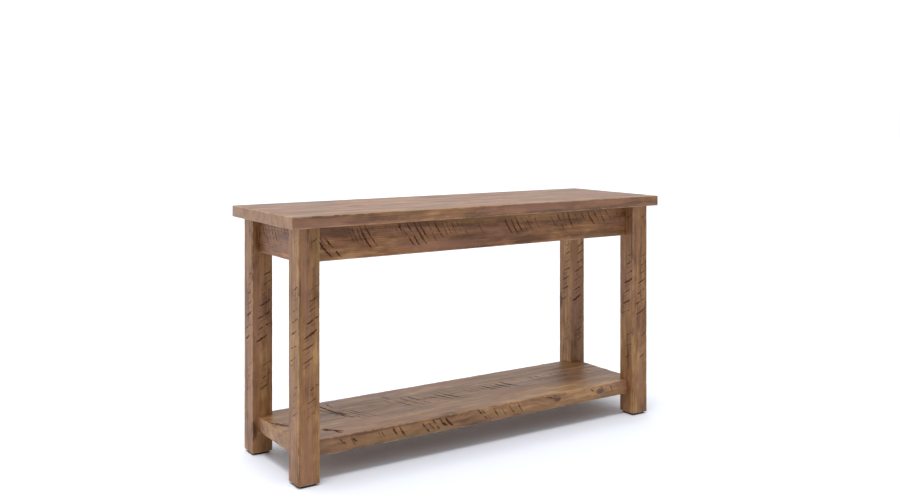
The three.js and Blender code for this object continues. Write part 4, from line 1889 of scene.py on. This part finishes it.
@dataclass
class Fixings:
    """The hidden wood with eased edges, the threaded steel and the moulded foot pads.

    Attributes:
        threads: the node tree that makes threaded rods.
        bare: the finish of unstained wood.
        wood_ease: the rounding of small wooden parts.
        pad_ease: the rounding of a foot pad.
        washer_ease: the rounding of a washer.
        coarse_length: how much of a hanger bolt has a wood thread.
        bolt_row: distance between the rows of points up a hanger bolt.
        bolt_depth: the depth of its threads, which its blunt end is eased by.
        bolt_tip: the length of its point.
        bolt_pitches: its machine thread's pitch and its wood thread's.
        screw_row: distance between the rows of points up a screw.
        screw_radius: a screw's radius over its threads.
        screw_taper: the height of its countersunk head.
        screw_tip: the length of its point.
        screw_depth: the depth of its thread.
        screw_pitch: the thread's pitch.
        nut_face: the radius of the flat ring on a nut's face.
        nut_slope: how steeply its chamfer falls, in degrees.
    """

    threads: ThreadTree
    bare: Pine = Pine(
        "bare_pine",
        deep=(0.36, 0.2, 0.09),
        warm=(0.55, 0.38, 0.2),
        golden=(0.62, 0.45, 0.25),
        end_grain=(0.5, 0.34, 0.18),
        rosy=(0.56, 0.37, 0.22),
        olive=(0.54, 0.39, 0.2),
        groove=(0.2, 0.1, 0.05),
        worn_edge_and_highlight=(0.62, 0.47, 0.3),
        knot=(0.3, 0.14, 0.06),
        gloss=0.62,
        rub=0.2,
    )
    wood_ease: float = 0.8 * MM
    pad_ease: float = 1.4 * MM
    washer_ease: float = 0.3 * MM
    coarse_length: float = 40 * MM
    bolt_row: float = 0.2 * MM
    bolt_depth: float = 0.7 * MM
    bolt_tip: float = 7 * MM
    bolt_pitches: tuple[float, float] = (1.25 * MM, 3.2 * MM)
    screw_row: float = 0.22 * MM
    screw_radius: float = 2.0 * MM
    screw_taper: float = 2.5 * MM
    screw_tip: float = 5 * MM
    screw_depth: float = 0.55 * MM
    screw_pitch: float = 1.8 * MM
    nut_face: float = 6.2 * MM
    nut_slope: float = 30.0

    CORNER_SEED = 200
    BUTTON_SEED = 220
    CRISP_EASED = 35.0
    CRISP_THREAD = 35.0
    CRISP_CUT = 28.0
    EASED_FROM = 40.0
    EASE_STEPS = 3
    FLAT = 1.0

    def build(self) -> None:
        """Makes and dresses the small parts."""
        steel = ZincSteel().material()
        plastic = PadPlastic().material()
        for index, corner in enumerate(CORNERS):
            inward = self._inward(corner)
            self._bolt(corner, inward, steel)
            self._nut(corner, inward, steel)
            self._eased(f"washer_{corner}", self.washer_ease, steel, "zinc_steel")
            self._dress(f"foot_nail_{corner}", steel)
            self._eased(f"foot_pad_{corner}", self.pad_ease, plastic, "pad_plastic")
            for kind in ("corner_block", "shelf_dowel_lower", "shelf_dowel_upper"):
                node = f"{kind}_{corner}"
                axis = Axis.Z if kind == "corner_block" else Axis.X
                wood = self.bare.material(Block.of(node), axis, self.CORNER_SEED + index)
                self._eased(node, self.wood_ease, wood, "inner_wood")
        for index, place in enumerate((*CORNERS, "left_end", "right_end")):
            node = f"top_button_{place}"
            wood = self.bare.material(Block.of(node), Axis.X, self.BUTTON_SEED + index)
            self._eased(node, self.wood_ease, wood, "inner_wood")
            self._screw(f"top_screw_{place}", steel)

    @staticmethod
    def _inward(corner: str) -> Vector:
        """The level way from a corner's leg towards the middle of the table."""
        middle = Block.of(f"leg_{corner}").centre
        return Vector((-math.copysign(1.0, middle.x), -math.copysign(1.0, middle.y), 0.0)).normalized()

    @staticmethod
    def _frame_of(origin: Vector, way: Vector) -> Matrix:
        """A placing whose own +Z runs along a way from an origin."""
        return Matrix.Translation(origin) @ way.to_track_quat("Z", "Y").to_matrix().to_4x4()

    @staticmethod
    def _slanted(block: Block) -> tuple[float, float]:
        """The diameter and the length of a rod that lies level at 45 degrees in its box."""
        diameter = 2 * block.half.z
        return diameter, 2 * block.half.x * math.sqrt(2) - diameter

    def _threaded(self, node: str, place: Matrix, settings: dict[str, object]) -> bpy.types.Object:
        """Makes one threaded rod.

        Args:
            node: the part that it stands for.
            place: carries it from its own axis, +Z, to its place in the frame.
            settings: the thread tree's inputs.

        Returns:
            An object with a closed mesh.
        """
        mesh = self.threads.run(bpy.data.meshes.new(node), settings)
        mesh.transform(place)
        face_outwards(mesh)
        return shaded(f"threaded_{node}", mesh, self.CRISP_THREAD)

    def _bolt(self, corner: str, inward: Vector, steel: bpy.types.Material) -> None:
        """Makes a hanger bolt: machine thread towards the nut, wood thread in the leg.

        Args:
            corner: the corner that it holds.
            inward: the way from the leg to its nut.
            steel: its finish.
        """
        node = f"hanger_bolt_{corner}"
        block = Block.of(node)
        diameter, length = self._slanted(block)
        fine, coarse = self.bolt_pitches
        settings = {
            ThreadTree.LENGTH: length,
            ThreadTree.RADIUS: diameter / 2,
            ThreadTree.HEAD_RADIUS: diameter / 2 - self.bolt_depth,
            ThreadTree.HEAD_LENGTH: self.bolt_depth,
            ThreadTree.TIP_LENGTH: self.bolt_tip,
            ThreadTree.THREAD_DEPTH: self.bolt_depth,
            ThreadTree.FINE_PITCH: fine,
            ThreadTree.COARSE_PITCH: coarse,
            ThreadTree.COARSE_LENGTH: self.coarse_length,
            ThreadTree.ROWS: round(length / self.bolt_row),
            ThreadTree.MATERIAL: steel,
        }
        place = self._frame_of(block.centre + inward * length / 2, -inward)
        settle(self._threaded(node, place, settings), steel, "zinc_steel", node)

    def _screw(self, node: str, steel: bpy.types.Material) -> None:
        """Makes a countersunk wood screw with a cross recess, pointing up.

        Args:
            node: the part that it stands for.
            steel: its finish.
        """
        block = Block.of(node)
        length = 2 * block.half.z
        settings = {
            ThreadTree.LENGTH: length,
            ThreadTree.RADIUS: self.screw_radius,
            ThreadTree.HEAD_RADIUS: block.half.x,
            ThreadTree.HEAD_LENGTH: self.screw_taper,
            ThreadTree.TIP_LENGTH: self.screw_tip,
            ThreadTree.THREAD_DEPTH: self.screw_depth,
            ThreadTree.FINE_PITCH: self.screw_pitch,
            ThreadTree.COARSE_PITCH: self.screw_pitch,
            ThreadTree.COARSE_LENGTH: 0.0,
            ThreadTree.ROWS: round(length / self.screw_row),
            ThreadTree.MATERIAL: steel,
        }
        seat = Vector((block.centre.x, block.centre.y, block.low.z))
        piece = self._threaded(node, Matrix.Translation(seat), settings)
        piece = self._cut(piece, Cut.OUTSIDE, self._cross(seat), f"threaded_{node}")
        settle(piece, steel, "zinc_steel", node)

    @staticmethod
    def _cross(seat: Vector) -> bpy.types.Object:
        """Makes the tapered cross that cuts a screw head's recess.

        Args:
            seat: the middle of the head's face.

        Returns:
            A closed object.
        """
        arm, half, depth, below = 2.1 * MM, 0.42 * MM, 1.7 * MM, 0.5 * MM
        mouth, bottom = 1.08, 0.45
        corners = ((arm, half), (half, half), (half, arm))
        loop = [
            (x * math.cos(turn) - y * math.sin(turn), x * math.sin(turn) + y * math.cos(turn))
            for turn in (0, math.pi / 2, math.pi, 3 * math.pi / 2)
            for x, y in corners
        ]
        levels = ((-below, mouth), (depth, bottom))
        points = [seat + Vector((x * scale, y * scale, z)) for z, scale in levels for x, y in loop]
        count = len(loop)
        faces = [tuple(range(count)), tuple(range(count, 2 * count))]
        faces += [
            (index, (index + 1) % count, count + (index + 1) % count, count + index)
            for index in range(count)
        ]
        return new_object("cross", closed_mesh("cross", points, faces))

    def _nut(self, corner: str, inward: Vector, steel: bpy.types.Material) -> None:
        """Makes a hexagon nut with turned chamfers on both its faces.

        Args:
            corner: the corner that it holds.
            inward: the way of its bolt.
            steel: its finish.
        """
        node = f"nut_{corner}"
        block = Block.of(node)
        hexagon = node_copy(node)
        along = [point.co.dot(inward) for point in hexagon.data.vertices]
        low, high = min(along), max(along)
        length = high - low
        wide = block.half.z * 2
        fall = (wide - self.nut_face) * math.tan(math.radians(self.nut_slope))
        outline = (
            (0.0, 0.0),
            (self.nut_face, 0.0),
            (wide, fall),
            (wide, length - fall),
            (self.nut_face, length),
            (0.0, length),
        )
        start = block.centre - inward * length / 2
        chamfers = Turning(outline, closed=False).build("chamfers", self._frame_of(start, inward))
        nut = self._cut(hexagon, Cut.INSIDE, chamfers, f"turned_{node}")
        settle(nut, steel, "zinc_steel", node)

    def _cut(
        self, piece: bpy.types.Object, cut: Cut, tool: bpy.types.Object, name: str
    ) -> bpy.types.Object:
        """Cuts a piece with a tool, and discards them both.

        Args:
            piece: the piece.
            cut: what is left of it.
            tool: the tool.
            name: what the result is called.

        Returns:
            The result.
        """
        add_cut(piece, cut, tool)
        mesh = frozen_mesh(piece)
        discard(piece, tool)
        return shaded(name, mesh, self.CRISP_CUT)

    def _eased(self, node: str, width: float, material: bpy.types.Material, slot: str) -> None:
        """Makes the node's own shape with its hard edges eased.

        Args:
            node: the part of the frame.
            width: how wide the rounding is.
            material: the finish.
            slot: the record's material slot for it.
        """
        piece = node_copy(node)
        with reworked(piece.data) as work:
            flat = math.radians(self.FLAT)
            bmesh.ops.dissolve_limit(work, angle_limit=flat, verts=work.verts, edges=work.edges)
        ease = piece.modifiers.new("ease", "BEVEL")
        ease.width = width
        ease.segments = self.EASE_STEPS
        ease.limit_method = "ANGLE"
        ease.angle_limit = math.radians(self.EASED_FROM)
        mesh = frozen_mesh(piece)
        discard(piece)
        settle(shaded(f"eased_{node}", mesh, self.CRISP_EASED), material, slot, node)

    @staticmethod
    def _dress(node: str, material: bpy.types.Material) -> None:
        """Gives every slot of one part of the frame a finish.

        Args:
            node: the part.
            material: the finish.
        """
        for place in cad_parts[node].material_slots:
            place.material = material
        LOG.info("%s dressed in %s", node, material.name)


# ---- The studio ----


@dataclass
class Studio:
    """A pale floor, soft light and the camera.

    Attributes:
        eye: the camera's place, in metres.
        heading: how far it is turned from the back towards the right, in degrees.
        lens: its focal length, in millimetres.
        shift: how far its picture is shifted down, as a share of its width.
        sensor: the width of its picture, in millimetres.
        reach: how far the floor runs each way.
        floor_tone: the floor's colour.
        floor_gloss: its roughness.
        floor_shine: its specular level.
        sun_from: the way to the key light.
        sun_power: its strength.
        sun_width: how wide it looks, in degrees.
        sky: the surround's strength all over, and what it gains from the left, the back and above.
    """

    eye: tuple[float, float, float] = (-1.8424, -2.7688, 1.0387)
    heading: float = 33.213
    lens: float = 40.18
    shift: float = -0.1493
    sensor: float = 36.0
    reach: float = 40.0
    floor_tone: tuple[float, float, float, float] = (0.865, 0.905, 0.99, 1.0)
    floor_gloss: float = 0.75
    floor_shine: float = 0.2
    sun_from: tuple[float, float, float] = (-0.11, -0.13, 0.97)
    sun_power: float = 1.9
    sun_width: float = 25.0
    sky: tuple[float, float, float, float] = (0.31, 0.3, 0.7, 0.3)

    def build(self) -> None:
        """Makes the floor, the lights and the camera."""
        self._floor()
        self._world()
        self._key()
        self._camera()

    def _floor(self) -> None:
        """A wide pale floor just under the feet."""
        mesh = bpy.data.meshes.new("floor")
        reach = self.reach
        corners = [(-reach, -reach, 0), (reach, -reach, 0), (reach, reach, 0), (-reach, reach, 0)]
        mesh.from_pydata(corners, [], [(0, 1, 2, 3)])
        floor = new_object("floor", mesh)
        material = bpy.data.materials.new("floor_paint")
        material.use_nodes = True
        shader = material.node_tree.nodes["Principled BSDF"]
        shader.inputs["Base Color"].default_value = self.floor_tone
        shader.inputs["Roughness"].default_value = self.floor_gloss
        shader.inputs["Specular IOR Level"].default_value = self.floor_shine
        mesh.materials.append(material)

    def _world(self) -> None:
        """A white surround, brightest behind, above and to the left."""
        world = bpy.data.worlds.new("studio")
        world.use_nodes = True
        sketch = Sketch(world.node_tree)
        background = world.node_tree.nodes["Background"]
        background.inputs["Color"].default_value = (1.0, 1.0, 1.0, 1.0)
        x, y, z = sketch.split(sketch.make("ShaderNodeTexCoord", "Generated"))
        base, from_left, from_back, from_above = self.sky
        left = (x * -1.0).at_least(0.0) * from_left
        back = sketch.remap(y, 0.0, 0.5, 0.0, from_back)
        above = z.at_least(0.0) * from_above
        sketch.link(left + back + (above + base), background.inputs["Strength"])
        bpy.context.scene.world = world
        bpy.context.scene.view_settings.view_transform = "Standard"

    def _key(self) -> None:
        """A broad soft light from above, a little to the left and in front."""
        lamp = bpy.data.lights.new("key", "SUN")
        lamp.energy = self.sun_power
        lamp.angle = math.radians(self.sun_width)
        key = bpy.data.objects.new("key", lamp)
        key.rotation_euler = Vector(self.sun_from).to_track_quat("Z", "Y").to_euler()
        bpy.context.scene.collection.objects.link(key)

    def _camera(self) -> None:
        """A level camera at the front left."""
        view = bpy.data.cameras.new("camera")
        view.lens = self.lens
        view.sensor_width = self.sensor
        view.shift_y = self.shift
        camera = bpy.data.objects.new("camera", view)
        camera.location = self.eye
        camera.rotation_euler = (math.pi / 2, 0.0, -math.radians(self.heading))
        bpy.context.scene.collection.objects.link(camera)
        bpy.context.scene.camera = camera


def main() -> None:
    """Builds the table, then the studio round it."""
    logging.basicConfig(level=logging.INFO, format="%(name)s: %(message)s")
    Studio().build()
    tree = MarkTree()
    for sub_assembly in (Top, Legs, Aprons, Shelf):
        sub_assembly(tree).build()
    Fixings(ThreadTree()).build()


if __name__ == "__main__":
    main()
